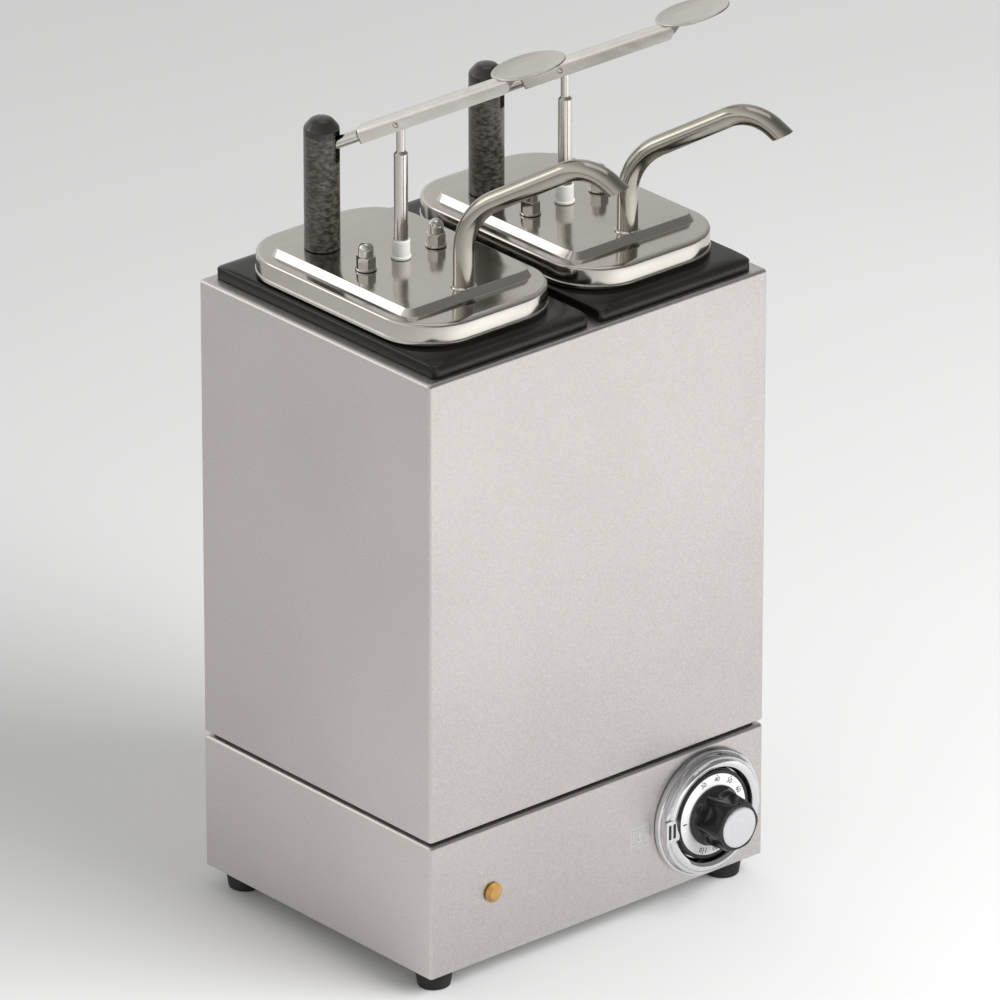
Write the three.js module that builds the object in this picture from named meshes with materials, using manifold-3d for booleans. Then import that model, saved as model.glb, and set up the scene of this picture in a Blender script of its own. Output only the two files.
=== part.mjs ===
// Heated twin condiment pump dispenser.
// A free-standing steel housing holds two lift-out vessels, each closed by a lid that carries a lever pump.
// Millimetres, +Z up, front towards -Y, standing on z = 0.
import * as THREE from "three";
import Module from "manifold-3d";
import { mergeVertices } from "three/addons/utils/BufferGeometryUtils.js";

const wasm = await Module();
wasm.setup();

// ---- Driving dimensions ------------------------------------------------------------------------

const GAP = 0.3; // clearance kept between neighbouring pieces
const FRAME_Y = 19.5; // housing centre, measured from the middle of the whole object's footprint

// Housing
const HOUSING_W = 250;
const HOUSING_D = 198;
const HOUSING_R = 2;
const FOOT_H = 13;
const FOOT_R_TOP = 11;
const FOOT_R_BOTTOM = 9.5;
const FOOT_INSET = 16;
const BASE_TOP = 95;
const SEAM_TOP = 97.6;
const DECK_TOP = 377;
const SHEET = 1.5;
const SEAM_INSET = 4;
const OPENING_W = 106.6;
const OPENING_D = 182;
const OPENING_R = 6;

// Well and heater
const WELL_W = 232;
const WELL_D = 190;
const WELL_R = 8;
const WELL_BOTTOM = 122;
const HEATER_R = 4;
const HEATER_Z = 115;

// Controls on the base
const DIAL_X = 80.5;
const DIAL_Z = 54;
const BEZEL_R = 38.5;
const BEZEL_H = 9.5;
const DISC_R = 27;
const KNOB_LOBES = 6;
const FLUTE_AT_FOOT = 0.1; // depth of the finger flutes, as a share of the knob's radius
const FLUTE_AT_FACE = 0.03;
const KNOB_FACE = 29.2;
const CAP_R = 12.3;
const SPINDLE_R = 3;
const LAMP_X = -79.3;
const LAMP_Z = 53.7;
const LAMP_R = 6;
const GLAND_X = -85;
const GLAND_Z = 48;
const GLAND_R = 8;

// Pump stations
const STATION_X = 60.5;
const COLLAR_W = 113;
const COLLAR_D = 188.6;
const COLLAR_H = 8.3;
const COLLAR_LIP_W = 104.5;
const COLLAR_LIP_D = 160.5;
const COLLAR_LIP_R = 31;
const COLLAR_LIP_H = 19.4;
const VESSEL_W = 98;
const VESSEL_D = 154;
const VESSEL_R = 27;
const VESSEL_WALL = 1;
const VESSEL_BOTTOM = 140;
const LID_W = 110;
const LID_D = 166;
const LID_R = 34;
const LID_SKIRT_LOW = 9.6; // heights on the lid are measured from the deck
const LID_FLANGE_TOP = 22.5;
const LID_TOP = 27;
const LID_SHEET = 1.5;
const PLATEAU_W = 88;
const PLATEAU_D = 118;
const PLATEAU_BEVEL = 2.8;

// Pump (positions in plan are measured from the lid's centre)
const ROD_Y = 2;
const ROD_R = 4;
const ROD_SHOULDER = 91.5;
const NECK_R = 2.5;
const BUSH_R = 5.15;
const BUSH_H = 11.5;
const NUT_X = 25.5;
const SPOUT_Y = -53;
const SPOUT_R = 6;
const SPOUT_BORE_R = 4.9;
const SPOUT_PLAN = THREE.MathUtils.degToRad(-68); // directions in plan are measured from +X
const LEVER_PLAN = THREE.MathUtils.degToRad(-58);
const LEVER_REST = THREE.MathUtils.degToRad(25.5);
const POST_TO_ROD = 44.8;
const POST_R = 10.2;
const POST_H = 79;
const PIVOT_H = 86.9; // above the deck
const LEVER_ROD_R = 3.5;
const CHANNEL_W = 12;
const CHANNEL_UP = 4.8;
const CHANNEL_DOWN = 3.8;
const CHANNEL_FROM = 24.5;
const CHANNEL_TO = 124;
const PLATE_AT = 135;
const PLATE_R = 21.5;
const PLATE_SINK = 2.2; // how far its middle lies below the channel's top
const PLATE_TILT = THREE.MathUtils.degToRad(11);
const CYLINDER_R = 20;
const CYLINDER_BORE_R = 18;
const CYLINDER_BOTTOM = 168;
const PISTON_Z = 246;
const PISTON_H = 14;
const SPRING_R = 12;
const SPRING_WIRE_R = 1.2;
const SPRING_TURNS = 5;
const BALL_R = 6.5;

// ---- Materials ---------------------------------------------------------------------------------

function material(color, roughness, metalness) {
  return new THREE.MeshStandardMaterial({ color, roughness, metalness });
}

const brushedSteel = material(0xbdb9b4, 0.42, 1);
const polishedSteel = material(0xc2bdb3, 0.16, 1);
const plainSteel = material(0x9d9c98, 0.4, 1);
const chrome = material(0xd2d2d0, 0.08, 1);
const blackPlastic = material(0x2b2926, 0.4, 0);
const gripCover = material(0x2d2723, 0.7, 0);
const rubber = material(0x161616, 0.85, 0);
const whitePlastic = material(0xecebe4, 0.45, 0);
const discWhite = material(0xe6e5e0, 0.4, 0);
const amber = material(0xb9812c, 0.2, 0);
const sealRubber = material(0x3a3836, 0.7, 0);
const ceramic = material(0xd8d2c2, 0.6, 0);
const springSteel = material(0x8b8a86, 0.35, 1);

// ---- Solids ------------------------------------------------------------------------------------

// Turns a closed geometry into a manifold-3d solid, dropping the zero-area triangles at poles.
function solid(geometry) {
  const bare = geometry.clone();
  bare.deleteAttribute("normal");
  bare.deleteAttribute("uv");
  const merged = mergeVertices(bare, 1e-4);
  const index = merged.index.array;
  const kept = [];
  for (let i = 0; i < index.length; i += 3) {
    const [a, b, c] = [index[i], index[i + 1], index[i + 2]];
    if (a !== b && b !== c && c !== a) {
      kept.push(a, b, c);
    }
  }
  const vertProperties = new Float32Array(merged.attributes.position.array);
  const triVerts = new Uint32Array(kept);
  return new wasm.Manifold(new wasm.Mesh({ numProp: 3, vertProperties, triVerts }));
}

function geometryOf(body) {
  const mesh = body.getMesh();
  const geometry = new THREE.BufferGeometry();
  const points = new Float32Array(mesh.vertProperties);
  geometry.setAttribute("position", new THREE.BufferAttribute(points, 3));
  geometry.setIndex(new THREE.BufferAttribute(new Uint32Array(mesh.triVerts), 1));
  geometry.computeVertexNormals();
  return geometry;
}

function cut(body, ...tools) {
  return tools.reduce((rest, tool) => rest.subtract(tool), body);
}

function join(body, ...others) {
  return others.reduce((sum, other) => sum.add(other), body);
}

function roundedRect(width, depth, radius) {
  const [x, y, r] = [width / 2, depth / 2, radius];
  const shape = new THREE.Shape();
  shape.moveTo(-x + r, -y);
  shape.lineTo(x - r, -y);
  shape.absarc(x - r, -y + r, r, -Math.PI / 2, 0, false);
  shape.lineTo(x, y - r);
  shape.absarc(x - r, y - r, r, 0, Math.PI / 2, false);
  shape.lineTo(-x + r, y);
  shape.absarc(-x + r, y - r, r, Math.PI / 2, Math.PI, false);
  shape.lineTo(-x, -y + r);
  shape.absarc(-x + r, -y + r, r, Math.PI, 1.5 * Math.PI, false);
  return shape;
}

function extrude(shape, low, high, curveSegments) {
  const options = { depth: high - low, bevelEnabled: false, curveSegments };
  return new THREE.ExtrudeGeometry(shape, options).translate(0, 0, low);
}

// An upright prism with rounded corners.
function prism(width, depth, radius, low, high, curveSegments = 2) {
  return solid(extrude(roundedRect(width, depth, radius), low, high, curveSegments));
}

function block(width, depth, height, x = 0, y = 0, z = 0) {
  return solid(new THREE.BoxGeometry(width, depth, height).translate(x, y, z));
}

// A cylinder or cone along +Z from low to high.
function round(rLow, rHigh, low, high, sides = 20) {
  const geometry = new THREE.CylinderGeometry(rHigh, rLow, high - low, sides);
  return geometry.rotateX(Math.PI / 2).translate(0, 0, (low + high) / 2);
}

function roundSolid(r, low, high, sides = 20) {
  return solid(round(r, r, low, high, sides));
}

// A turned piece about +Z. The profile lists [radius, height] with the outside going upwards.
function turned(profile, sides = 24) {
  const points = profile.map(([r, z]) => new THREE.Vector2(r, z));
  return solid(new THREE.LatheGeometry(points, sides).rotateX(Math.PI / 2));
}

// A solid between two equal-sided outlines: rounded rectangles of different size at two heights.
function frustum(low, high, curveSegments) {
  const bottom = roundedRect(...low.size).getPoints(curveSegments);
  const top = roundedRect(...high.size).getPoints(curveSegments);
  bottom.pop();
  top.pop();
  const n = bottom.length;
  const points = [];
  bottom.forEach((p) => points.push(p.x, p.y, low.z));
  top.forEach((p) => points.push(p.x, p.y, high.z));
  points.push(0, 0, low.z, 0, 0, high.z);
  const index = [];
  for (let i = 0; i < n; i += 1) {
    const j = (i + 1) % n;
    index.push(i, j, n + j, i, n + j, n + i);
    index.push(j, i, 2 * n, n + i, n + j, 2 * n + 1);
  }
  const geometry = new THREE.BufferGeometry();
  geometry.setAttribute("position", new THREE.Float32BufferAttribute(points, 3));
  geometry.setIndex(index);
  return solid(geometry);
}

function sweep(shape, curve, curveSegments, steps = curve.points.length - 1) {
  const options = { steps, extrudePath: curve, curveSegments, bevelEnabled: false };
  return new THREE.ExtrudeGeometry(shape, options);
}

function circleShape(radius, boreRadius = 0) {
  const shape = new THREE.Shape();
  shape.absarc(0, 0, radius, 0, 2 * Math.PI, false);
  if (boreRadius > 0) {
    const hole = new THREE.Path();
    hole.absarc(0, 0, boreRadius, 0, 2 * Math.PI, true);
    shape.holes.push(hole);
  }
  return shape;
}

// A line through given points, each with its own direction, sampled only at those points.
class KnotPath extends THREE.Curve {
  constructor(points, directions) {
    super();
    this.points = points;
    this.directions = directions;
  }

  getUtoTmapping(u) {
    return u;
  }

  pick(list, t) {
    const at = Math.min(t, 1) * (list.length - 1);
    const i = Math.min(Math.floor(at + 1e-9), list.length - 2);
    return list[i].clone().lerp(list[i + 1], at - i);
  }

  getPoint(t) {
    return this.pick(this.points, t);
  }

  getTangent(t) {
    return this.pick(this.directions, t).normalize();
  }
}

// Straight runs joined by circular bends, each bend taken in a few equal steps.
function bentPath(corners, bendRadii, bendSteps) {
  const last = corners.length - 1;
  const first = corners[1].clone().sub(corners[0]).normalize();
  const points = [corners[0]];
  const directions = [first];
  for (let i = 1; i < last; i += 1) {
    const inward = corners[i].clone().sub(corners[i - 1]).normalize();
    const outward = corners[i + 1].clone().sub(corners[i]).normalize();
    const turn = inward.angleTo(outward);
    const radius = bendRadii[i - 1];
    const start = corners[i].clone().addScaledVector(inward, -radius * Math.tan(turn / 2));
    const across = outward.clone().addScaledVector(inward, -Math.cos(turn)).normalize();
    for (let k = 0; k <= bendSteps; k += 1) {
      const angle = (turn * k) / bendSteps;
      const point = start.clone().addScaledVector(inward, radius * Math.sin(angle));
      point.addScaledVector(across, radius * (1 - Math.cos(angle)));
      points.push(point);
      const direction = inward.clone().multiplyScalar(Math.cos(angle));
      directions.push(direction.addScaledVector(across, Math.sin(angle)));
    }
  }
  points.push(corners[last]);
  directions.push(corners[last].clone().sub(corners[last - 1]).normalize());
  return new KnotPath(points, directions);
}

function place(parent, name, body, surface, x = 0, y = 0, z = 0) {
  const mesh = new THREE.Mesh(geometryOf(body), surface);
  mesh.name = name;
  mesh.position.set(x, y, z);
  parent.add(mesh);
  return mesh;
}

function group(parent, x = 0, y = 0, z = 0) {
  const made = new THREE.Group();
  made.position.set(x, y, z);
  parent.add(made);
  return made;
}

const dispenser = new THREE.Group();
const housing = group(dispenser, 0, FRAME_Y, 0);

// ---- Housing -----------------------------------------------------------------------------------

const wallFront = -HOUSING_D / 2;
const wallBack = HOUSING_D / 2;

// A tool for holes through the front or back wall, along Y.
function wallHole(radius, x, y, z, sides = 24) {
  const geometry = round(radius, radius, -10, 10, sides).rotateX(Math.PI / 2);
  return solid(geometry.translate(x, y, z));
}

const innerW = HOUSING_W - 2 * SHEET;
const innerD = HOUSING_D - 2 * SHEET;

const baseCasing = cut(
  prism(HOUSING_W, HOUSING_D, HOUSING_R, FOOT_H, BASE_TOP),
  prism(innerW, innerD, 0.6, FOOT_H - 1, BASE_TOP - SHEET),
  prism(HOUSING_W - 44, HOUSING_D - 44, 4, FOOT_H, BASE_TOP + 1),
  wallHole(6.5, DIAL_X, wallFront, DIAL_Z),
  wallHole(4.9, LAMP_X, wallFront, LAMP_Z),
  wallHole(GLAND_R + GAP, GLAND_X, wallBack, GLAND_Z),
);
place(housing, "base_casing", baseCasing, brushedSteel);

const footX = HOUSING_W / 2 - FOOT_INSET;
const footY = HOUSING_D / 2 - FOOT_INSET;
const footSpots = { fl: [-1, -1], fr: [1, -1], bl: [-1, 1], br: [1, 1] };

let bottomPlate = prism(innerW - 2 * GAP, innerD - 2 * GAP, 0.6, FOOT_H, FOOT_H + SHEET);
for (const [sx, sy] of Object.values(footSpots)) {
  bottomPlate = bottomPlate.subtract(roundSolid(2.5, 0, 40, 12).translate([sx * footX, sy * footY, 0]));
}
place(housing, "bottom_plate", bottomPlate, plainSteel);

const foot = turned([
  [0, 5], [4, 5], [4, 0], [FOOT_R_BOTTOM - 0.8, 0], [FOOT_R_BOTTOM, 0.8],
  [FOOT_R_TOP, FOOT_H - 2], [FOOT_R_TOP - 0.6, FOOT_H - GAP], [0, FOOT_H - GAP],
], 16);
for (const [corner, [sx, sy]] of Object.entries(footSpots)) {
  place(housing, `foot_${corner}`, foot, rubber, sx * footX, sy * footY, 0);
}

const seamFrame = cut(
  prism(HOUSING_W - 2 * SEAM_INSET, HOUSING_D - 2 * SEAM_INSET, 1, BASE_TOP + GAP, SEAM_TOP - GAP),
  prism(HOUSING_W - 44, HOUSING_D - 44, 4, BASE_TOP - 1, SEAM_TOP + 1),
);
place(housing, "seam_frame", seamFrame, blackPlastic);

const upperCasing = cut(
  prism(HOUSING_W, HOUSING_D, HOUSING_R, SEAM_TOP, DECK_TOP),
  prism(innerW, innerD, 0.6, SEAM_TOP + SHEET, DECK_TOP - SHEET),
  prism(HOUSING_W - 44, HOUSING_D - 44, 4, SEAM_TOP - 1, SEAM_TOP + SHEET + 1),
  prism(OPENING_W, OPENING_D, OPENING_R, DECK_TOP - 4, DECK_TOP + 1).translate([-STATION_X, 0, 0]),
  prism(OPENING_W, OPENING_D, OPENING_R, DECK_TOP - 4, DECK_TOP + 1).translate([STATION_X, 0, 0]),
);
place(housing, "upper_casing", upperCasing, brushedSteel);

// ---- Well and heater ---------------------------------------------------------------------------

const wellTop = DECK_TOP - SHEET - GAP;
const well = cut(
  prism(WELL_W, WELL_D, WELL_R, WELL_BOTTOM, wellTop),
  prism(WELL_W - 3, WELL_D - 3, WELL_R - 1.5, WELL_BOTTOM + SHEET, wellTop + 1),
);
place(housing, "heating_well", well, plainSteel);

const heaterPath = bentPath(
  [
    new THREE.Vector3(-70, 70, 92),
    new THREE.Vector3(-70, 70, HEATER_Z),
    new THREE.Vector3(-70, -60, HEATER_Z),
    new THREE.Vector3(70, -60, HEATER_Z),
    new THREE.Vector3(70, 40, HEATER_Z),
    new THREE.Vector3(-40, 40, HEATER_Z),
    new THREE.Vector3(-40, 70, HEATER_Z),
    new THREE.Vector3(-40, 70, 92),
  ],
  [10, 22, 22, 22, 14, 10],
  4,
);
const heater = solid(sweep(circleShape(HEATER_R), heaterPath, 4));
place(housing, "heating_element", heater, springSteel);

// ---- Controls ----------------------------------------------------------------------------------

// Pieces on the front wall are turned about an axis that points out of the wall.
function frontGroup(x, z) {
  const made = group(housing, x, wallFront, z);
  made.rotation.x = Math.PI / 2;
  return made;
}

const dial = frontGroup(DIAL_X, DIAL_Z);

const thermostatBody = cut(
  join(
    block(34, 46, 26, 0, 0, -18),
    roundSolid(5.5, -6, -SHEET + 1, 24),
  ),
  roundSolid(SPINDLE_R + 0.4, -16, 5, 16),
);
place(dial, "thermostat_body", thermostatBody, ceramic);

const bezel = turned([
  [7, GAP], [BEZEL_R, GAP], [BEZEL_R, 2.4], [BEZEL_R - 0.7, 4.6], [BEZEL_R - 2.4, 7.2],
  [BEZEL_R - 4.8, 8.9], [BEZEL_R - 7, BEZEL_H], [BEZEL_R - 9.2, 8.2],
  [BEZEL_R - 10.2, 3], [7, 2.4], [7, GAP],
], 32);
place(dial, "thermostat_bezel", bezel, chrome);

const disc = cut(
  turned([[0, 4.2], [DISC_R, 4.2], [DISC_R, 6.6], [DISC_R - 0.8, 7.4], [0, 7.4]], 32),
  roundSolid(SPINDLE_R + GAP, 0, 10, 16),
);
place(dial, "scale_disc", disc, discWhite);

// The knob tapers towards its face and has six finger lobes.
function lobedBody(profile, sides) {
  const points = profile.map(([r, z]) => new THREE.Vector2(r, z));
  const geometry = new THREE.LatheGeometry(points, sides).rotateX(Math.PI / 2);
  const position = geometry.attributes.position;
  for (let i = 0; i < position.count; i += 1) {
    const [x, y, z] = [position.getX(i), position.getY(i), position.getZ(i)];
    const depth = THREE.MathUtils.lerp(FLUTE_AT_FOOT, FLUTE_AT_FACE, z / KNOB_FACE);
    const swell = 1 + depth * Math.cos(KNOB_LOBES * Math.atan2(y, x));
    position.setXY(i, x * swell, y * swell);
  }
  return solid(geometry);
}

const knob = cut(
  lobedBody([[0, 7.7], [17.2, 7.7], [17.2, 9.6], [15.8, 11], [14.9, 27.5], [14.2, KNOB_FACE], [0, KNOB_FACE]], 36),
  roundSolid(SPINDLE_R + GAP, 0, 22, 16),
  roundSolid(CAP_R + GAP, KNOB_FACE - 1, 32, 24),
);
place(dial, "knob", knob, blackPlastic);

const knobCap = turned([[0, 28.5], [CAP_R, 28.5], [CAP_R, 29.7], [CAP_R - 0.7, 30.3], [0, 30.9]], 24);
place(dial, "knob_cap", knobCap, brushedSteel);
place(dial, "knob_spindle", roundSolid(SPINDLE_R, -14, 20, 16), plainSteel);

const lamp = frontGroup(LAMP_X, LAMP_Z);
const lens = join(
  turned([[0, GAP], [LAMP_R, GAP], [LAMP_R, 1.4], [4.9, 2.9], [2.6, 3.9], [0, 4.2]], 20),
  roundSolid(4.4, -9, 1, 20),
);
place(lamp, "indicator_lens", lens, amber);
const lampHolder = cut(
  roundSolid(6.6, -20, -SHEET - GAP, 24),
  roundSolid(4.7, -9.4, 5, 20),
);
place(lamp, "indicator_holder", lampHolder, blackPlastic);

const terminal = cut(
  block(34, 16, 14, 0, 0, 7),
  ...[-11, 0, 11].map((x) => roundSolid(2.6, 8, 20, 12).translate([x, 0, 0])),
);
place(housing, "terminal_block", terminal, ceramic, -60, 60, FOOT_H + SHEET + GAP);

const gland = group(housing, GLAND_X, wallBack, GLAND_Z);
gland.rotation.x = -Math.PI / 2;
const hexOutline = (acrossFlats) => round(
  acrossFlats / Math.sqrt(3), acrossFlats / Math.sqrt(3), 0, 1, 6,
);
const glandBody = cut(
  join(
    roundSolid(GLAND_R, -10, 1, 24),
    solid(hexOutline(20).scale(1, 1, 4).translate(0, 0, GAP)),
    turned([[0, 2], [9.2, 2], [9.2, 7], [7.2, 10], [0, 10]], 24),
  ),
  roundSolid(4, -20, 20, 20),
);
place(gland, "cable_gland", glandBody, blackPlastic);

// ---- Pump stations -----------------------------------------------------------------------------

const rodPlan = new THREE.Vector2(0, ROD_Y);
const postPlan = new THREE.Vector2(
  rodPlan.x - POST_TO_ROD * Math.cos(LEVER_PLAN),
  rodPlan.y - POST_TO_ROD * Math.sin(LEVER_PLAN),
);
const pinReach = POST_TO_ROD / Math.cos(LEVER_REST);
const pinHeight = PIVOT_H + POST_TO_ROD * Math.tan(LEVER_REST);

function hexagon(acrossFlats, low, high) {
  return solid(hexOutline(acrossFlats).scale(1, 1, high - low).translate(0, 0, low));
}

function makeCollar() {
  const frame = frustum(
    { size: [COLLAR_W, COLLAR_D, 3], z: COLLAR_H - 1.2 },
    { size: [COLLAR_W - 2.4, COLLAR_D - 2.4, 2], z: COLLAR_H },
    1,
  );
  return cut(
    join(
      prism(COLLAR_W, COLLAR_D, 3, GAP, COLLAR_H - 1.2, 1),
      frame,
      prism(COLLAR_LIP_W, COLLAR_LIP_D, COLLAR_LIP_R, 1, COLLAR_LIP_H, 4),
      prism(OPENING_W - 0.8, OPENING_D - 0.8, OPENING_R - 0.4, -5, 1),
    ),
    prism(OPENING_W - 4.6, OPENING_D - 4.6, OPENING_R - 2, -6, -1),
    prism(VESSEL_W + 2, VESSEL_D + 2, VESSEL_R + 1, -6, COLLAR_LIP_H + 1, 4),
  );
}

function makeVessel() {
  const low = VESSEL_BOTTOM - DECK_TOP;
  const rimLow = COLLAR_LIP_H + GAP;
  const wall = VESSEL_WALL;
  return cut(
    join(
      prism(VESSEL_W, VESSEL_D, VESSEL_R, low, rimLow + 0.5, 4),
      prism(COLLAR_LIP_W, COLLAR_LIP_D, COLLAR_LIP_R, rimLow, rimLow + wall, 4),
    ),
    prism(VESSEL_W - 2 * wall, VESSEL_D - 2 * wall, VESSEL_R - wall, low + wall, 40, 4),
  );
}

function makeLid() {
  const t = LID_SHEET;
  const bevel = 2 * PLATEAU_BEVEL;
  const edge = 2.4;
  const shoulder = LID_FLANGE_TOP - 1.6;
  const outside = join(
    prism(LID_W, LID_D, LID_R, LID_SKIRT_LOW, shoulder, 4),
    frustum(
      { size: [LID_W, LID_D, LID_R], z: shoulder },
      { size: [LID_W - edge, LID_D - edge, LID_R - edge / 2], z: LID_FLANGE_TOP },
      4,
    ),
    frustum(
      { size: [PLATEAU_W + bevel, PLATEAU_D + bevel, 9], z: LID_FLANGE_TOP - 0.2 },
      { size: [PLATEAU_W, PLATEAU_D, 5], z: LID_TOP },
      2,
    ),
  );
  const inside = join(
    prism(LID_W - 2 * t, LID_D - 2 * t, LID_R - t, LID_SKIRT_LOW - 1, LID_FLANGE_TOP - t, 4),
    frustum(
      { size: [PLATEAU_W + bevel - 2 * t, PLATEAU_D + bevel - 2 * t, 8], z: LID_FLANGE_TOP - t - 0.2 },
      { size: [PLATEAU_W - 2 * t, PLATEAU_D - 2 * t, 4], z: LID_TOP - t },
      2,
    ),
  );
  const hole = (r, x, y) => roundSolid(r, LID_TOP - 6, LID_TOP + 4, 12).translate([x, y, 0]);
  return cut(
    outside,
    inside,
    hole(BUSH_R + GAP, rodPlan.x, rodPlan.y),
    hole(3.3, -NUT_X, rodPlan.y),
    hole(3.3, NUT_X, rodPlan.y),
    hole(SPOUT_R + GAP, 0, SPOUT_Y),
    hole(4.3, postPlan.x, postPlan.y),
  );
}

function makePost() {
  const low = LID_TOP + GAP;
  const high = LID_TOP + POST_H;
  const slot = block(24, 8.2, 17, 5.5, 0, PIVOT_H + 1.5).rotate([0, 0, THREE.MathUtils.radToDeg(LEVER_PLAN)]);
  const pinHole = solid(
    round(2.3, 2.3, -20, 20, 10).rotateX(Math.PI / 2).rotateZ(LEVER_PLAN).translate(0, 0, PIVOT_H),
  );
  return cut(
    turned([
      [0, low], [POST_R, low], [POST_R, high - 7.5], [POST_R - 0.9, high - 5.2],
      [POST_R - 3.2, high - 2.2], [POST_R - 6.2, high - 0.5], [0, high],
    ], 20),
    slot,
    pinHole,
    roundSolid(4.3, low - 1, low + 36, 12),
  );
}

function makeStud() {
  const under = LID_TOP - LID_SHEET - GAP;
  return join(
    roundSolid(4, under - 1, LID_TOP + 34, 12),
    roundSolid(8, under - 1.6, under, 16),
    hexagon(13, under - 7, under - 1.5),
  );
}

function makeBush() {
  return cut(
    join(
      roundSolid(BUSH_R, LID_TOP - LID_SHEET - GAP, LID_TOP + BUSH_H, 16),
      roundSolid(5.8, LID_TOP + GAP, LID_TOP + 1.6, 16),
    ),
    roundSolid(ROD_R + GAP, 0, 60, 16),
  );
}

function makeCapNut() {
  const low = LID_TOP + GAP;
  const dome = turned([
    [0, low + 7], [4.4, low + 7], [4.4, low + 11.4], [3.7, low + 13.9], [2, low + 15.6], [0, low + 16],
  ], 12);
  return cut(
    join(
      roundSolid(6.1, low, low + 1.4, 16),
      hexagon(10, low + 1.3, low + 8.2),
      dome,
    ),
    roundSolid(3.3, low - 1, low + 9.4, 10),
  );
}

const spoutDirection = new THREE.Vector3(Math.cos(SPOUT_PLAN), Math.sin(SPOUT_PLAN), 0);

// The delivery tube leaves the cylinder near its foot, rises through the lid and reaches over the front.
const portZ = CYLINDER_BOTTOM + 10 - DECK_TOP;
function spoutPoint(along, up) {
  const point = new THREE.Vector3(0, SPOUT_Y, LID_TOP + up);
  return point.addScaledVector(spoutDirection, along);
}
const spoutPath = bentPath(
  [
    new THREE.Vector3(0, ROD_Y - CYLINDER_BORE_R, portZ),
    new THREE.Vector3(0, SPOUT_Y, portZ),
    spoutPoint(0, 43.4),
    spoutPoint(77, 88.5),
    spoutPoint(100, 71.9),
  ],
  [12, 40, 26],
  5,
);

function makeSpout() {
  const tube = solid(sweep(circleShape(SPOUT_R, SPOUT_BORE_R), spoutPath, 6));
  const clearOfCylinder = roundSolid(CYLINDER_R + GAP, portZ - 20, portZ + 20, 32).translate([0, ROD_Y, 0]);
  const tip = spoutPoint(95.6, 75);
  const trim = new THREE.BoxGeometry(40, 40, 20).translate(0, 0, -10);
  trim.rotateY(THREE.MathUtils.degToRad(-29)).rotateZ(SPOUT_PLAN).translate(tip.x, tip.y, tip.z);
  return cut(tube, clearOfCylinder, solid(trim));
}

function makeCylinder() {
  const top = LID_TOP - LID_SHEET - GAP;
  const low = CYLINDER_BOTTOM - DECK_TOP;
  const studs = [-NUT_X, NUT_X].map((x) => roundSolid(3, top - 1, LID_TOP + 9, 10).translate([x, 0, 0]));
  const port = solid(round(SPOUT_BORE_R, SPOUT_BORE_R, 10, 30, 10).rotateX(Math.PI / 2).translate(0, 0, portZ));
  const body = join(
    turned([[0, low], [CYLINDER_R, low], [CYLINDER_R, top - 2], [0, top - 2]]),
    prism(68, 42, 20, top - 2.5, top, 3),
    ...studs,
  );
  return cut(
    body,
    roundSolid(CYLINDER_BORE_R, low + 2, top - 2.5, 24),
    roundSolid(BUSH_R + 0.1, top - 6, top + 1, 12),
    roundSolid(5, low - 1, low + 4, 12),
    port,
  );
}

// A ball valve under the cylinder: conical seat, cage, and feed notches round its foot.
function makeIntakeValve() {
  const high = CYLINDER_BOTTOM - GAP - DECK_TOP;
  const low = high - 19;
  const notch = block(60, 8, 6, 0, 0, low + 1);
  const ring = turned([
    [5, low], [16, low], [16, high - 7], [18, high - 5], [18, high],
    [8, high], [8, low + 9], [5, low + 5], [5, low],
  ], 20);
  return cut(ring, notch, notch.rotate([0, 0, 90]));
}

function makePiston() {
  const low = PISTON_Z - DECK_TOP;
  const high = low + PISTON_H;
  const r = CYLINDER_BORE_R - GAP;
  return cut(
    turned([
      [0, low], [r, low], [r, low + 4], [r - 1.6, low + 5], [r - 1.6, low + 9], [r, low + 10],
      [r, high], [0, high],
    ]),
    roundSolid(ROD_R + GAP, low + 4, high + 1, 12),
  );
}

function makePistonRod() {
  const low = PISTON_Z + 4 + GAP - DECK_TOP;
  const eyeHalf = 2.7;
  const eyeFar = pinReach - POST_TO_ROD;
  const eye = new THREE.Shape();
  eye.absarc(0, 0, eyeHalf, Math.PI / 2, 1.5 * Math.PI, false);
  eye.absarc(eyeFar, 0, eyeHalf, -Math.PI / 2, Math.PI / 2, false);
  const slot = new THREE.Path();
  slot.absarc(0, 0, 1.95, 1.5 * Math.PI, Math.PI / 2, true);
  slot.absarc(eyeFar, 0, 1.95, Math.PI / 2, -Math.PI / 2, true);
  eye.holes.push(slot);
  const blade = extrude(eye, -2.2, 2.2, 4).rotateX(Math.PI / 2).rotateZ(LEVER_PLAN).translate(0, 0, pinHeight);
  return join(
    turned([
      [0, low], [ROD_R, low], [ROD_R, ROD_SHOULDER - 1.5], [NECK_R, ROD_SHOULDER],
      [NECK_R, pinHeight - 2.4], [0, pinHeight - 2.4],
    ], 16),
    solid(blade),
  );
}

// Closed-end compression spring, ground flat.
function makeSpring() {
  const low = CYLINDER_BOTTOM + 2 + GAP - DECK_TOP;
  const high = PISTON_Z - GAP - DECK_TOP;
  const start = low + SPRING_WIRE_R;
  const rise = high - low - 2 * SPRING_WIRE_R;
  class Helix extends THREE.Curve {
    getPoint(t) {
      const angle = 2 * Math.PI * SPRING_TURNS * t;
      const z = start + rise * t;
      return new THREE.Vector3(SPRING_R * Math.cos(angle), SPRING_R * Math.sin(angle), z);
    }
  }
  return solid(sweep(circleShape(SPRING_WIRE_R), new Helix(), 3, SPRING_TURNS * 10));
}

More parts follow.
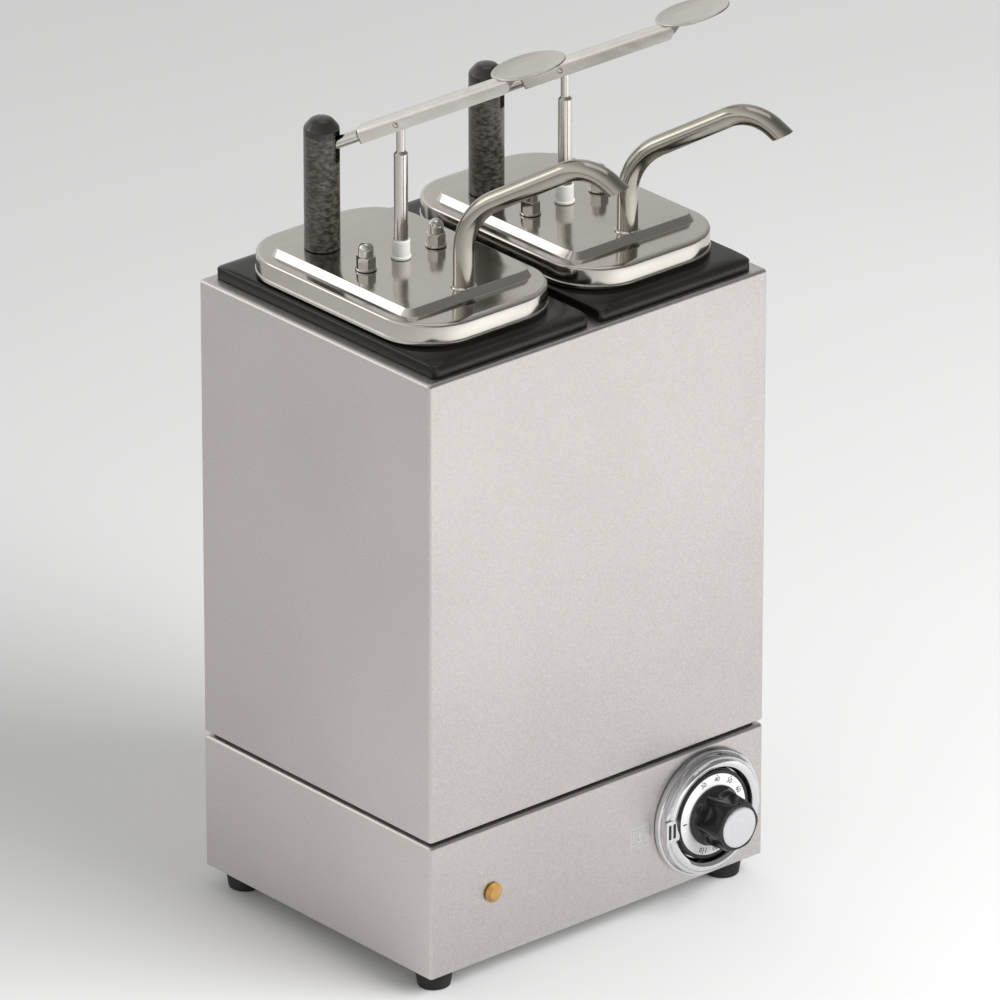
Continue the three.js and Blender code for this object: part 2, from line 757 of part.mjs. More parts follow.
function makeLeverRod() {
  const along = (r, from, to, sides) => solid(round(r, r, from, to, sides).rotateY(Math.PI / 2));
  const pinHole = solid(round(2.3, 2.3, -10, 10, 10).rotateX(Math.PI / 2));
  return cut(
    join(
      along(LEVER_ROD_R, -4.4, CHANNEL_FROM - GAP, 16),
      along(2.6, CHANNEL_FROM - 2, CHANNEL_FROM + 10, 10),
    ),
    pinHole,
  );
}

// An inverted channel with a closed end where the round rod enters.
function makeChannel() {
  const length = CHANNEL_TO - CHANNEL_FROM;
  const middle = (CHANNEL_TO + CHANNEL_FROM) / 2;
  const height = CHANNEL_UP + CHANNEL_DOWN;
  const centre = (CHANNEL_UP - CHANNEL_DOWN) / 2;
  const pinHole = solid(round(1.7, 1.7, -10, 10, 10).rotateX(Math.PI / 2).translate(pinReach, 0, 0));
  const rodHole = solid(round(2.9, 2.9, 0, 30, 10).rotateY(Math.PI / 2));
  const tail = block(30, 20, 10).rotate([0, -35, 0]).translate([CHANNEL_TO, 0, -CHANNEL_DOWN - 2.6]);
  const seat = block(60, 30, 10, 0, 0, 5 - GAP)
    .rotate([0, THREE.MathUtils.radToDeg(PLATE_TILT), 0])
    .translate([PLATE_AT, 0, CHANNEL_UP - PLATE_SINK]);
  return cut(
    block(length, CHANNEL_W, height, middle, 0, centre),
    block(length - 1, CHANNEL_W - 2, height, middle + 1, 0, centre - 1),
    rodHole,
    pinHole,
    tail,
    seat,
  );
}

function makePlate() {
  const profile = [
    [0, 0], [10, 0.2], [PLATE_R - 3, 1.4], [PLATE_R, 3], [PLATE_R - 1, 4],
    [14, 2.6], [0, 2],
  ];
  return turned(profile, 28);
}

const LEVER_DOWN_AXIS = new THREE.Vector3(0, 1, 0);

function makeStation(side, x) {
  const station = group(housing, x, 0, DECK_TOP);
  place(station, `collar_${side}`, makeCollar(), blackPlastic);
  place(station, `vessel_${side}`, makeVessel(), plainSteel);
  place(station, `lid_${side}`, makeLid(), polishedSteel);
  place(station, `spout_${side}`, makeSpout(), polishedSteel);

  const pump = group(station, rodPlan.x, rodPlan.y, 0);
  place(pump, `pump_cylinder_${side}`, makeCylinder(), plainSteel);
  place(pump, `intake_valve_${side}`, makeIntakeValve(), whitePlastic);
  const ball = solid(new THREE.IcosahedronGeometry(BALL_R, 1));
  const seat = CYLINDER_BOTTOM - GAP - 19 - DECK_TOP;
  place(pump, `valve_ball_${side}`, ball, plainSteel, 0, 0, seat + 9.9);
  place(pump, `guide_bush_${side}`, makeBush(), whitePlastic);
  place(pump, `piston_${side}`, makePiston(), sealRubber);
  place(pump, `piston_rod_${side}`, makePistonRod(), polishedSteel);
  place(pump, `return_spring_${side}`, makeSpring(), springSteel);
  place(pump, `cap_nut_${side}_a`, makeCapNut(), polishedSteel, -NUT_X, 0, 0);
  place(pump, `cap_nut_${side}_b`, makeCapNut(), polishedSteel, NUT_X, 0, 0);

  const post = group(station, postPlan.x, postPlan.y, 0);
  place(post, `grip_post_${side}`, makePost(), gripCover);
  place(post, `post_stud_${side}`, makeStud(), plainSteel);

  const pivot = group(post, 0, 0, PIVOT_H);
  pivot.rotation.z = LEVER_PLAN;
  const pivotPin = solid(round(2, 2, -9.2, 9.2, 10).rotateX(Math.PI / 2));
  place(pivot, `pivot_pin_${side}`, pivotPin, plainSteel);

  const lever = group(pivot);
  lever.setRotationFromAxisAngle(LEVER_DOWN_AXIS, -LEVER_REST);
  place(lever, `lever_rod_${side}`, makeLeverRod(), polishedSteel);
  place(lever, `lever_channel_${side}`, makeChannel(), polishedSteel);
  const linkPin = solid(round(1.4, 1.4, -6.4, 6.4, 10).rotateX(Math.PI / 2));
  place(lever, `link_pin_${side}`, linkPin, plainSteel, pinReach, 0, 0);
  const plate = place(lever, `thumb_plate_${side}`, makePlate(), polishedSteel);
  plate.position.set(PLATE_AT, 0, CHANNEL_UP - PLATE_SINK);
  plate.rotation.y = PLATE_TILT;
}

makeStation("left", -STATION_X);
makeStation("right", STATION_X);

export default dispenser;
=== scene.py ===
import math

import bmesh
import bpy
import numpy as np
from mathutils import Matrix, Vector
from mathutils.geometry import tessellate_polygon


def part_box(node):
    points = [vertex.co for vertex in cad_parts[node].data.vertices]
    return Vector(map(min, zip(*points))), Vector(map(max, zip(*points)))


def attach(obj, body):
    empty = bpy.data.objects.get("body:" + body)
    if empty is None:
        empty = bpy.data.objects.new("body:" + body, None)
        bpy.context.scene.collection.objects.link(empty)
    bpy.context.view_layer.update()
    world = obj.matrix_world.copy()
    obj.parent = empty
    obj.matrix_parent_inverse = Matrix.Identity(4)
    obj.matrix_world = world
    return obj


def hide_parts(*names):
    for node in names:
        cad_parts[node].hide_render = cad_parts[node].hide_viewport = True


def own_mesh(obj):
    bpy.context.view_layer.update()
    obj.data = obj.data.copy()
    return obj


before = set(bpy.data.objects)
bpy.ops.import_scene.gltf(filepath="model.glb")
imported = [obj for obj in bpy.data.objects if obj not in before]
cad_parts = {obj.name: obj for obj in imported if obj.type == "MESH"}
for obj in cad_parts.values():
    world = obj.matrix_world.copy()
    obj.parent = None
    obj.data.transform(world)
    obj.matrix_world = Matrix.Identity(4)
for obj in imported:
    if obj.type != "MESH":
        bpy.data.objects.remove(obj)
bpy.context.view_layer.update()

MM = 0.001
SIDES = ("left", "right")


def box(node):
    low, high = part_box(node)
    return low / MM, high / MM


def centre(node):
    low, high = box(node)
    return (low + high) / 2


def half_width(node):
    low, high = box(node)
    return (high.x - low.x) / 2


# ---- Places taken from the frame ----------------------------------------------------------------

CASING_LOW, CASING_HIGH = box("upper_casing")
BASE_LOW, BASE_HIGH = box("base_casing")
HOUSING_X, HOUSING_Y = centre("upper_casing").xy
HOUSING_W, HOUSING_D = (CASING_HIGH - CASING_LOW).xy
DECK = CASING_HIGH.z
FRONT = CASING_LOW.y
BACK = CASING_HIGH.y
SHEET = 1.5
FOLD = 2.0
LIP = 22.0
GAP = 0.3
# Width, depth and corner radius of each opening in the deck.
OPENING = (106.6, 182.0, 6.0)

# ---- Materials ----------------------------------------------------------------------------------


def add_node(tree, kind, inputs, **settings):
    """Adds a shader node, with a value or a link on each of its inputs, and returns its outputs."""
    made = tree.nodes.new("ShaderNode" + kind)
    for key, value in settings.items():
        setattr(made, key, value)
    for key, value in inputs.items():
        if isinstance(value, bpy.types.NodeSocket):
            tree.links.new(value, made.inputs[key])
        else:
            made.inputs[key].default_value = value
    return made.outputs


class Surface:
    """A Principled material together with the nodes that feed it."""

    def __init__(self, name, roughness, metallic=0.0, **sockets):
        self.material = bpy.data.materials.new(name)
        self.material.use_nodes = True
        self.tree = self.material.node_tree
        self.shader = self.tree.nodes["Principled BSDF"]
        self.set("Roughness", roughness)
        self.set("Metallic", metallic)
        for socket, value in sockets.items():
            self.set(socket.replace("_", " "), value)
        self.place = self.tree.nodes.new("ShaderNodeTexCoord").outputs["Object"]

    def set(self, socket, value):
        target = self.shader.inputs[socket]
        if isinstance(value, bpy.types.NodeSocket):
            self.tree.links.new(value, target)
        else:
            target.default_value = value

    def node(self, kind, inputs, output=0, **settings):
        return add_node(self.tree, kind, inputs, **settings)[output]

    def noise(self, per_metre, detail=3.0, stretch=(1, 1, 1), turn=(0, 0, 0)):
        spot = self.node("Mapping", {"Vector": self.place, "Scale": stretch, "Rotation": turn})
        sockets = {"Vector": spot, "Scale": per_metre, "Detail": detail}
        return self.node("TexNoise", sockets)

    def between(self, value, low, high, start=0.3, end=0.7):
        sockets = {
            "Value": value, "From Min": start, "From Max": end, "To Min": low, "To Max": high,
        }
        return self.node("MapRange", sockets)

    def blend(self, share, first, second):
        sockets = {"Factor": share, 6: first, 7: second}
        return self.node("Mix", sockets, 2, data_type="RGBA")

    def colours(self, share, first, second):
        self.set("Base Color", self.blend(share, (*first, 1), (*second, 1)))

    def bump(self, height, distance, strength=1.0):
        sockets = {"Height": height, "Distance": distance, "Strength": strength}
        self.set("Normal", self.node("Bump", sockets))


def brushed_steel():
    """Satin sheet with a fine even speckle of grain."""
    s = Surface("brushed_steel", 0.36, 1.0)
    grain = s.noise(1200, 2)
    cloud = s.noise(9, 2)
    shares = {0: s.between(grain, 0, 0.8), 1: s.between(cloud, 0, 0.2)}
    tone = s.node("Math", shares, operation="ADD")
    s.colours(tone, (0.53, 0.503, 0.488), (0.73, 0.695, 0.68))
    s.set("Roughness", s.between(grain, 0.34, 0.46))
    s.bump(grain, 0.00003, 0.5)
    return s.material


def polished_steel():
    """Bright pressed steel with faint wiping marks."""
    s = Surface("polished_steel", 0.15, 1.0)
    wiping = s.noise(30, 5, stretch=(1, 3, 1))
    cloud = s.noise(11, 3)
    s.colours(s.between(cloud, 0, 1), (0.54, 0.515, 0.47), (0.61, 0.585, 0.54))
    s.set("Roughness", s.between(wiping, 0.10, 0.18))
    s.bump(s.noise(900, 2), 0.00001, 0.3)
    return s.material


def tube_steel():
    """Darker polished tube, a little olive, with faint rings across it."""
    s = Surface("tube_steel", 0.14, 1.0)
    cloud = s.noise(25, 3)
    s.colours(s.between(cloud, 0, 1), (0.37, 0.352, 0.30), (0.45, 0.43, 0.37))
    s.set("Roughness", s.between(s.noise(120, 3), 0.10, 0.18))
    s.bump(s.noise(700, 2), 0.00001, 0.3)
    return s.material


def turned_steel():
    """Rod and pin steel, with very fine rings left by turning."""
    s = Surface("turned_steel", 0.16, 1.0)
    rings = s.noise(300, 2, stretch=(1, 1, 8))
    s.colours(s.between(rings, 0, 1), (0.58, 0.555, 0.52), (0.66, 0.64, 0.60))
    s.set("Roughness", s.between(rings, 0.09, 0.17))
    s.bump(rings, 0.00003, 0.3)
    return s.material


def arm_steel():
    """Pale satin steel of the pressed lever arms."""
    s = Surface("arm_steel", 0.24, 1.0)
    wiping = s.noise(60, 4, stretch=(1, 1, 3))
    s.colours(s.between(wiping, 0, 1), (0.70, 0.675, 0.625), (0.78, 0.755, 0.70))
    s.set("Roughness", s.between(wiping, 0.20, 0.30))
    s.bump(s.noise(900, 2), 0.00001, 0.3)
    return s.material


def inner_steel():
    """Dull deep-drawn sheet of the vessels, the well and the cylinders."""
    s = Surface("inner_steel", 0.36, 1.0)
    draw = s.noise(60, 4, stretch=(1, 1, 0.25))
    s.colours(s.between(draw, 0, 1), (0.50, 0.49, 0.475), (0.62, 0.61, 0.60))
    s.set("Roughness", s.between(draw, 0.30, 0.44))
    s.bump(s.noise(400, 3), 0.00006, 0.4)
    return s.material


def chrome():
    s = Surface("chrome", 0.07, 1.0)
    haze = s.noise(60, 4)
    s.colours(s.between(haze, 0, 1), (0.72, 0.72, 0.735), (0.80, 0.80, 0.81))
    s.set("Roughness", s.between(haze, 0.05, 0.13))
    return s.material


def cap_metal():
    """Pale satin metal with a fine spun finish."""
    s = Surface("spun_metal", 0.3, 0.9)
    fine = s.noise(900, 3)
    s.colours(s.between(fine, 0, 1), (0.68, 0.68, 0.70), (0.78, 0.78, 0.80))
    s.set("Roughness", s.between(fine, 0.26, 0.38))
    s.bump(fine, 0.00003, 0.3)
    return s.material


def moulded(name, first, second, low, high, grain=900, depth=0.00006, **sockets):
    """Moulded plastic or enamel with an even fine grain."""
    s = Surface(name, (low + high) / 2, **sockets)
    cloud = s.noise(35, 4)
    fine = s.noise(grain, 3)
    s.colours(s.between(cloud, 0, 1), first, second)
    s.set("Roughness", s.between(fine, low, high))
    s.bump(fine, depth, 0.5)
    return s.material


def grip_cover():
    """Dark cover with a fine wavy grain round the post, smooth and glossy over the dome."""
    s = Surface("grip_cover", 0.4, Coat_Weight=0.35, Coat_Roughness=0.15)
    height = s.node("SeparateXYZ", {"Vector": s.place}, 2)
    dome = centre("pivot_pin_left").z * MM + 0.008
    below = s.between(height, 1, 0.45, dome, dome + 0.003)
    waves = s.noise(270, 3, stretch=(1, 1, 2.4), turn=(0.2, 0.2, 0))
    grain = s.node("Math", {0: waves, 1: below}, operation="MULTIPLY")
    s.colours(s.between(grain, 0, 1, 0.40, 0.70), (0.017, 0.015, 0.011), (0.120, 0.112, 0.088))
    s.set("Roughness", s.between(grain, 0.22, 0.46, 0.25, 0.65))
    s.bump(grain, 0.0003, 0.6)
    return s.material


def rubber(name):
    s = Surface(name, 0.75)
    fine = s.noise(700, 4)
    s.colours(s.between(s.noise(40, 3), 0, 1), (0.010, 0.010, 0.010), (0.022, 0.021, 0.020))
    s.set("Roughness", s.between(fine, 0.66, 0.84))
    s.bump(fine, 0.0001, 0.6)
    return s.material


def amber_lens():
    s = Surface("amber_lens", 0.12, Transmission_Weight=0.25, IOR=1.49, Coat_Weight=0.4)
    depth = s.noise(260, 3)
    s.colours(s.between(depth, 0, 1), (0.44, 0.21, 0.035), (0.62, 0.36, 0.09))
    s.set("Roughness", s.between(depth, 0.08, 0.16))
    return s.material


STEEL = brushed_steel()
POLISHED = polished_steel()
TURNED = turned_steel()
TUBE = tube_steel()
ARM = arm_steel()
INNER = inner_steel()
CHROME = chrome()
CAP = cap_metal()
BLACK = moulded(
    "black_frame", (0.008, 0.0075, 0.006), (0.013, 0.012, 0.010), 0.14, 0.22,
    depth=0.00002, Specular_IOR_Level=0.3,
)
KNOB = moulded(
    "black_knob", (0.007, 0.007, 0.008), (0.012, 0.012, 0.013), 0.14, 0.22, depth=0.00002,
)
WHITE = moulded("white_plastic", (0.74, 0.73, 0.69), (0.82, 0.81, 0.78), 0.35, 0.5)
DISC = moulded("dial_white", (0.78, 0.79, 0.79), (0.84, 0.85, 0.85), 0.28, 0.4, grain=1400)
INK = moulded("print_black", (0.010, 0.010, 0.010), (0.016, 0.016, 0.016), 0.35, 0.5)
CERAMIC = moulded("ceramic", (0.66, 0.62, 0.54), (0.74, 0.71, 0.63), 0.5, 0.7)
SEAL = moulded("seal", (0.035, 0.033, 0.031), (0.055, 0.053, 0.05), 0.55, 0.75)
GRIP = grip_cover()
RUBBER = rubber("foot_rubber")
AMBER = amber_lens()

# ---- Shapes -------------------------------------------------------------------------------------


def rounded(corners, closed=False, steps=6, axes=slice(None)):
    """Points along straight runs whose corners are cut back and joined by arcs.
    A corner is (values, radius), and axes picks the values that are coordinates."""
    values = [np.array(v, float) for v, _ in corners]
    points = []
    for i, (_, radius) in enumerate(corners):
        here = values[i]
        if radius <= 0 or not closed and i in (0, len(values) - 1):
            points.append(here)
            continue
        before, after = values[i - 1] - here, values[(i + 1) % len(values)] - here
        reach = [np.linalg.norm(v[axes]) for v in (before, after)]
        cosine = before[axes] @ after[axes] / (reach[0] * reach[1])
        half = math.acos(max(-1.0, min(1.0, cosine))) / 2
        back = radius / math.tan(half)
        start, end = here + before * back / reach[0], here + after * back / reach[1]
        for t in np.linspace(0, 1, steps + 1):
            a, b, c = (1 - t) ** 2, 2 * math.sin(half) * t * (1 - t), t**2
            points.append((a * start + b * here + c * end) / (a + b + c))
    return points


def rectangle(width, depth, radius, height, steps=8):
    """A rounded rectangle at a height, anticlockwise seen from above."""
    x, y = width / 2, depth / 2
    corners = [((-x, -y), radius), ((x, -y), radius), ((x, y), radius), ((-x, y), radius)]
    return [Vector((*p, height)) for p in rounded(corners, True, steps)]


def add_rows(bm, loops, closed=False):
    """Joins each loop of points to the next with a band of faces; a loop of one point is a tip."""
    rows = [[bm.verts.new(p) for p in loop] for loop in loops]
    pairs = list(zip(rows, rows[1:]))
    if closed:
        pairs.append((rows[-1], rows[0]))
    for low, high in pairs:
        count = max(len(low), len(high))
        for i in range(count):
            j = (i + 1) % count
            lower = [low[i % len(low)], low[j % len(low)]]
            upper = [high[j % len(high)], high[i % len(high)]]
            bm.faces.new(dict.fromkeys(lower + upper))
    return rows


def loft(loops, closed=False):
    bm = bmesh.new()
    rows = add_rows(bm, loops, closed)
    if not closed:
        for row in (rows[0], rows[-1]):
            if len(row) > 2:
                bm.faces.new(row)
    return bm


def stack(rows, closed=False, steps=5, arc=8):
    """Rounded rectangles one over another: (width, depth, corner radius, height, edge rounding)."""
    corners = [((w, d, r, z), e) for w, d, r, z, e in rows]
    levels = rounded([((w / 2, d, r, z), e) for (w, d, r, z), e in corners], closed, steps, [0, 3])
    return loft([rectangle(2 * x, d, r, z, arc) for x, d, r, z in levels], closed)


def circle(radius, height, sides):
    turns = [2 * math.pi * i / sides for i in range(sides)]
    return [Vector((radius * math.cos(a), radius * math.sin(a), height)) for a in turns]


def turned(rows, closed=False, sides=72, steps=5):
    """A piece turned about +Z: (radius, height, edge rounding)."""
    profile = rounded([((r, z), e) for r, z, e in rows], closed, steps)
    loops = [circle(r, z, sides) if r > 1e-6 else [Vector((0, 0, z))] for r, z in profile]
    return loft(loops, closed)


def carried_rings(path, outline, trim=None):
    """The outline (points in a plane) carried along a path without twisting. The last ring is
    trimmed to a plane (point, normal), where one is given."""
    path = [Vector(p) for p in path]
    rings = []
    heading = (path[1] - path[0]).normalized()
    across = heading.orthogonal().normalized()
    for i, point in enumerate(path):
        ahead = path[min(i + 1, len(path) - 1)] - path[max(i - 1, 0)]
        ahead.normalize()
        across = (heading.rotation_difference(ahead) @ across).normalized()
        heading = ahead
        up = heading.cross(across)
        rings.append([point + across * p[0] + up * p[1] for p in outline])
    if trim:
        spot, normal = trim
        slant = heading.dot(normal)
        rings[-1] = [p + heading * ((spot - p).dot(normal) / slant) for p in rings[-1]]
    return rings


def tube(path, radius, bore=0, sides=32, trim=None):
    """A round tube or, without a bore, a round bar along a path."""
    outer = carried_rings(path, circle(radius, 0, sides), trim)
    if not bore:
        return loft(outer)
    inner = carried_rings(path, circle(bore, 0, sides), trim)
    return loft(outer + inner[::-1], True)


def as_object(bm):
    bmesh.ops.recalc_face_normals(bm, faces=bm.faces)
    mesh = bpy.data.meshes.new("tool")
    bm.to_mesh(mesh)
    bm.free()
    obj = bpy.data.objects.new("tool", mesh)
    bpy.context.scene.collection.objects.link(obj)
    return obj


def cut(bm, *tools, how="DIFFERENCE"):
    """The solid without its tools or, with INTERSECT or UNION, what they share or make up."""
    objects = [as_object(bm), *[as_object(tool) for tool in tools]]
    for tool in objects[1:]:
        step = objects[0].modifiers.new("step", "BOOLEAN")
        step.operation = how
        step.solver = "EXACT"
        step.object = tool
    bpy.context.view_layer.update()
    shaped = objects[0].evaluated_get(bpy.context.evaluated_depsgraph_get())
    mesh = bpy.data.meshes.new_from_object(shaped)
    made = bmesh.new()
    made.from_mesh(mesh)
    bpy.data.meshes.remove(mesh)
    for obj in objects:
        old = obj.data
        bpy.data.objects.remove(obj)
        bpy.data.meshes.remove(old)
    return made


def moved(bm, *steps):
    """Turns and moves a shape: a step is a vector to move by, or a matrix."""
    for step in steps:
        matrix = step if isinstance(step, Matrix) else Matrix.Translation(step)
        bm.transform(matrix)
    return bm


def turn(degrees, axis):
    return Matrix.Rotation(math.radians(degrees), 4, axis)


def piece(name, bm, body, surface, node=None, place=None, sharp=32):
    """Makes a finished piece of a shape, smooth but for its sharp edges, that rides on a body."""
    bmesh.ops.remove_doubles(bm, verts=bm.verts, dist=1e-4)
    bmesh.ops.recalc_face_normals(bm, faces=bm.faces)
    for face in bm.faces:
        face.smooth = True
    for edge in bm.edges:
        edge.smooth = len(edge.link_faces) == 2 and edge.calc_face_angle(0) < math.radians(sharp)
    bm.transform(Matrix.Scale(MM, 4) @ (place or Matrix.Identity(4)))
    mesh = bpy.data.meshes.new(name)
    bm.to_mesh(mesh)
    bm.free()
    mesh.materials.append(surface)
    obj = bpy.data.objects.new(name, mesh)
    bpy.context.scene.collection.objects.link(obj)
    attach(obj, body)
    if node:
        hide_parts(node)
    return obj


def add_plate(bm, outline, holes):
    """A flat face with openings, between points that lie in one level plane."""
    points = [p for loop in (outline, *holes) for p in loop]
    verts = [bm.verts.new(p) for p in points]
    for triangle in tessellate_polygon([outline, *holes]):
        bm.faces.new([verts[i] for i in triangle])


# ---- Housing ------------------------------------------------------------------------------------

HOUSING = Matrix.Translation((HOUSING_X, HOUSING_Y, 0))
DECK_MARGIN = 5
CASING_BORES = {"thermostat_bezel": 6.5, "indicator_lens": 4.9, "cable_gland": 8.3}
WELL_FLOOR_EDGE = 6
GLAND_BORE = 4
GLAND_FLUTES = 12


def folded(inset, height, edge):
    """One corner of a folded sheet's section: how far in from the outside, how high, how round."""
    corner = max(FOLD - inset, 0.5)
    return HOUSING_W - 2 * inset, HOUSING_D - 2 * inset, corner, height, edge


def hole(radius, low, high):
    return turned([(0, low, 0), (radius, low, 0), (radius, high, 0), (0, high, 0)], sides=48)


def make_base():
    low, high = BASE_LOW.z, BASE_HIGH.z
    shell = stack([
        folded(0, low, 0.3), folded(0, high, FOLD), folded(LIP, high, 0.3),
        folded(LIP, high - SHEET, 0.3), folded(SHEET, high - SHEET, 0.5), folded(SHEET, low, 0.3),
    ], True)
    holes = []
    for node, radius in CASING_BORES.items():
        spot = centre(node)
        spot.y = BACK if spot.y > HOUSING_Y else FRONT
        spot.x, spot.y = spot.x - HOUSING_X, spot.y - HOUSING_Y
        holes.append(moved(hole(radius, -5, 5), turn(90, "X"), spot))
    shape = cut(shell, *holes)
    piece("casing_base", shape, "housing", STEEL, "base_casing", HOUSING)


def make_upper():
    low, high = CASING_LOW.z, CASING_HIGH.z
    outer = [
        folded(LIP, low, 0), folded(0, low, 1),
        folded(0, high, FOLD), folded(DECK_MARGIN, high, 0),
    ]
    inner = [
        folded(DECK_MARGIN, high - SHEET, 0), folded(SHEET, high - SHEET, 0.5),
        folded(SHEET, low + SHEET, 0.5), folded(LIP, low + SHEET, 0),
    ]
    bm = bmesh.new()
    loops = []
    for rows in (outer, inner):
        levels = rounded([((w / 2, d, r, z), e) for w, d, r, z, e in rows], False, 5, [0, 3])
        loops.append([rectangle(2 * x, d, r, z) for x, d, r, z in levels])
    add_rows(bm, loops[0])
    add_rows(bm, loops[1])
    add_rows(bm, [loops[1][-1], loops[0][0]])
    shift = [Vector((centre(f"vessel_{side}").x - HOUSING_X, 0, 0)) for side in SIDES]
    holes = [[p + move for p in rectangle(*OPENING, high)] for move in shift]
    under = [[p - Vector((0, 0, SHEET)) for p in loop] for loop in holes]
    add_plate(bm, loops[0][-1], holes)
    add_plate(bm, loops[1][0], under)
    for top, bottom in zip(holes, under):
        add_rows(bm, [top, bottom])
    piece("casing_upper", bm, "housing", STEEL, "upper_casing", HOUSING)


def make_foot(node):
    """A rubber foot, hollowed from below for its screw."""
    top = box(node)[1].z
    r = half_width(node)
    shape = turned([
        (0, 5, 0), (4, 5, 0.5), (4, 0.3, 0.5), (5.4, 0, 0), (r - 1.6, 0, 1.2), (r, top - 2.2, 1.2),
        (r - 0.6, top, 0.3), (0, top, 0),
    ])
    spot = centre(node)
    place = Matrix.Translation((spot.x, spot.y, 0))
    piece(f"rubber_{node}", shape, "housing", RUBBER, node, place)


def make_well():
    low, high = box("heating_well")
    width, depth = (high - low).xy
    low, high = low.z, high.z
    corner = 8

    def ring(inset, radius, height, edge):
        return width - 2 * inset, depth - 2 * inset, radius, height, edge

    shape = stack([
        ring(WELL_FLOOR_EDGE, 4, low, 0), ring(0, corner, low, 5), ring(0, corner, high, 0.3),
        ring(SHEET, corner - SHEET, high, 0.3), ring(SHEET, corner - SHEET, low + SHEET, 4),
        ring(WELL_FLOOR_EDGE + 1, 3, low + SHEET, 0),
    ])
    piece("water_well", shape, "housing", INNER, "heating_well", HOUSING)


def make_gland():
    spot = centre("cable_gland")
    place = Matrix.Translation((spot.x, BACK, spot.z)) @ turn(-90, "X")
    reach = box("cable_gland")[1].y - BACK
    body = turned([
        (GLAND_BORE, -10, 0.4), (8, -10, 0.6), (8, GAP, 0), (9.9, GAP, 0.4), (9.9, 3.4, 0.5),
        (9.2, 4, 0), (9.2, reach - 3, 0.8), (7.2, reach, 0.6), (GLAND_BORE, reach, 0.6),
    ], True)
    flutes = []
    for i in range(GLAND_FLUTES):
        spin = turn(360 / GLAND_FLUTES * i, "Z")
        flutes.append(moved(hole(1.1, 4.2, reach + 1), Vector((10, 0, 0)), spin))
    shape = cut(body, *flutes)
    piece("gland_body", shape, "housing", BLACK, "cable_gland", place)


make_base()
make_upper()
make_well()
make_gland()
for corner in ("fl", "fr", "bl", "br"):
    make_foot(f"foot_{corner}")

# ---- Controls -----------------------------------------------------------------------------------


def on_front(node):
    """A place on the front wall whose +Z points out of it and whose +X points right."""
    spot = centre(node)
    return Matrix.Translation((spot.x, FRONT, spot.z)) @ turn(90, "X")


DIAL = on_front("thermostat_bezel")
BEZEL_R = half_width("thermostat_bezel")
BEZEL_H = 9.5
DISC_R = 27.0
DISC_TOP = 7.4
RING_WIDTH = 2.3
SPINDLE_BORE = 3.3
NUMBERS = range(30, 120, 10)
NUMBER_SIZE = 4.2
FIRST_NUMBER_ANGLE = 110.0
NUMBER_STEP = 27.5
INDEX_ANGLE = 180.0
PRINT = 0.12
KNOB_LOBES = 6
KNOB_FOOT = 7.7
KNOB_FACE = 29.2
CAP_R = 12.3


def make_bezel():
    """Chrome ring with two fine grooves round it."""
    r = BEZEL_R
    shape = turned([
        (7, GAP, 0), (r - 0.3, GAP, 0.4), (r, 1.6, 0.6), (r - 0.3, 3.4, 0.5), (r - 1.3, 4.0, 0.3),
        (r - 1.7, 2.6, 0.1), (r - 2.1, 4.4, 0.2), (r - 2.6, 7.0, 0.8), (r - 3.9, 8.3, 0.5),
        (r - 4.4, 7.2, 0.1), (r - 5.0, 8.8, 0.3), (r - 7.2, BEZEL_H, 1.2), (r - 9.4, 8.3, 1),
        (r - 10.4, 3, 0.6), (7, 2.4, 0),
    ], True, sides=128)
    piece("bezel_ring", shape, "housing", CHROME, "thermostat_bezel", DIAL)


def slab(width, depth, thickness, radius=0.3):
    """A small flat block with rounded corners and its upper edge broken."""
    edge = min(0.12, thickness / 3)
    return stack([
        (width, depth, radius, 0, 0), (width, depth, radius, thickness, edge),
        (width / 2, depth / 2, radius / 2, thickness, 0),
    ], steps=2, arc=4)


def make_index_marks():
    """A flat tab on the bezel with the two upright bars that the scale is read against."""
    tab_at = -(BEZEL_R - 6.3)
    tab = moved(slab(9.6, 13.5, 2.6, 1.2), Vector((tab_at, 0, BEZEL_H - 2.65)))
    piece("index_tab", tab, "housing", CHROME, place=DIAL)
    for name, shift in (("a", -2.4), ("b", 1.0)):
        bar = moved(slab(1.9, 9.0, 0.5), Vector((tab_at + shift, 0, BEZEL_H - 0.4)))
        piece(f"index_bar_{name}", bar, "housing", INK, place=DIAL)


def make_disc():
    """White scale disc in its black outer ring."""
    inner = DISC_R - RING_WIDTH
    face = turned([
        (SPINDLE_BORE, 4.2, 0), (inner, 4.2, 0.3), (inner, DISC_TOP - 0.1, 0.4),
        (SPINDLE_BORE, DISC_TOP - 0.1, 0),
    ], True, sides=96)
    piece("dial_disc", face, "dial", DISC, "scale_disc", DIAL)
    ring = turned([
        (inner + 0.05, 4.4, 0), (DISC_R, 4.4, 0.3), (DISC_R, 6.7, 0.3),
        (DISC_R - 0.7, DISC_TOP, 0.3), (inner + 0.05, DISC_TOP, 0.2),
    ], True, sides=96)
    piece("dial_ring", ring, "dial", INK, place=DIAL)


def lettering(text, size):
    """Raised print, centred on the origin in the XY plane."""
    curve = bpy.data.curves.new("lettering", "FONT")
    curve.body = text
    curve.size = size
    curve.extrude = PRINT / 2
    curve.align_x = "CENTER"
    curve.align_y = "CENTER"
    obj = bpy.data.objects.new("lettering", curve)
    bpy.context.scene.collection.objects.link(obj)
    bpy.context.view_layer.update()
    solid = obj.evaluated_get(bpy.context.evaluated_depsgraph_get())
    mesh = bpy.data.meshes.new_from_object(solid)
    bm = bmesh.new()
    bm.from_mesh(mesh)
    bpy.data.objects.remove(obj)
    bpy.data.curves.remove(curve)
    bpy.data.meshes.remove(mesh)
    return bm


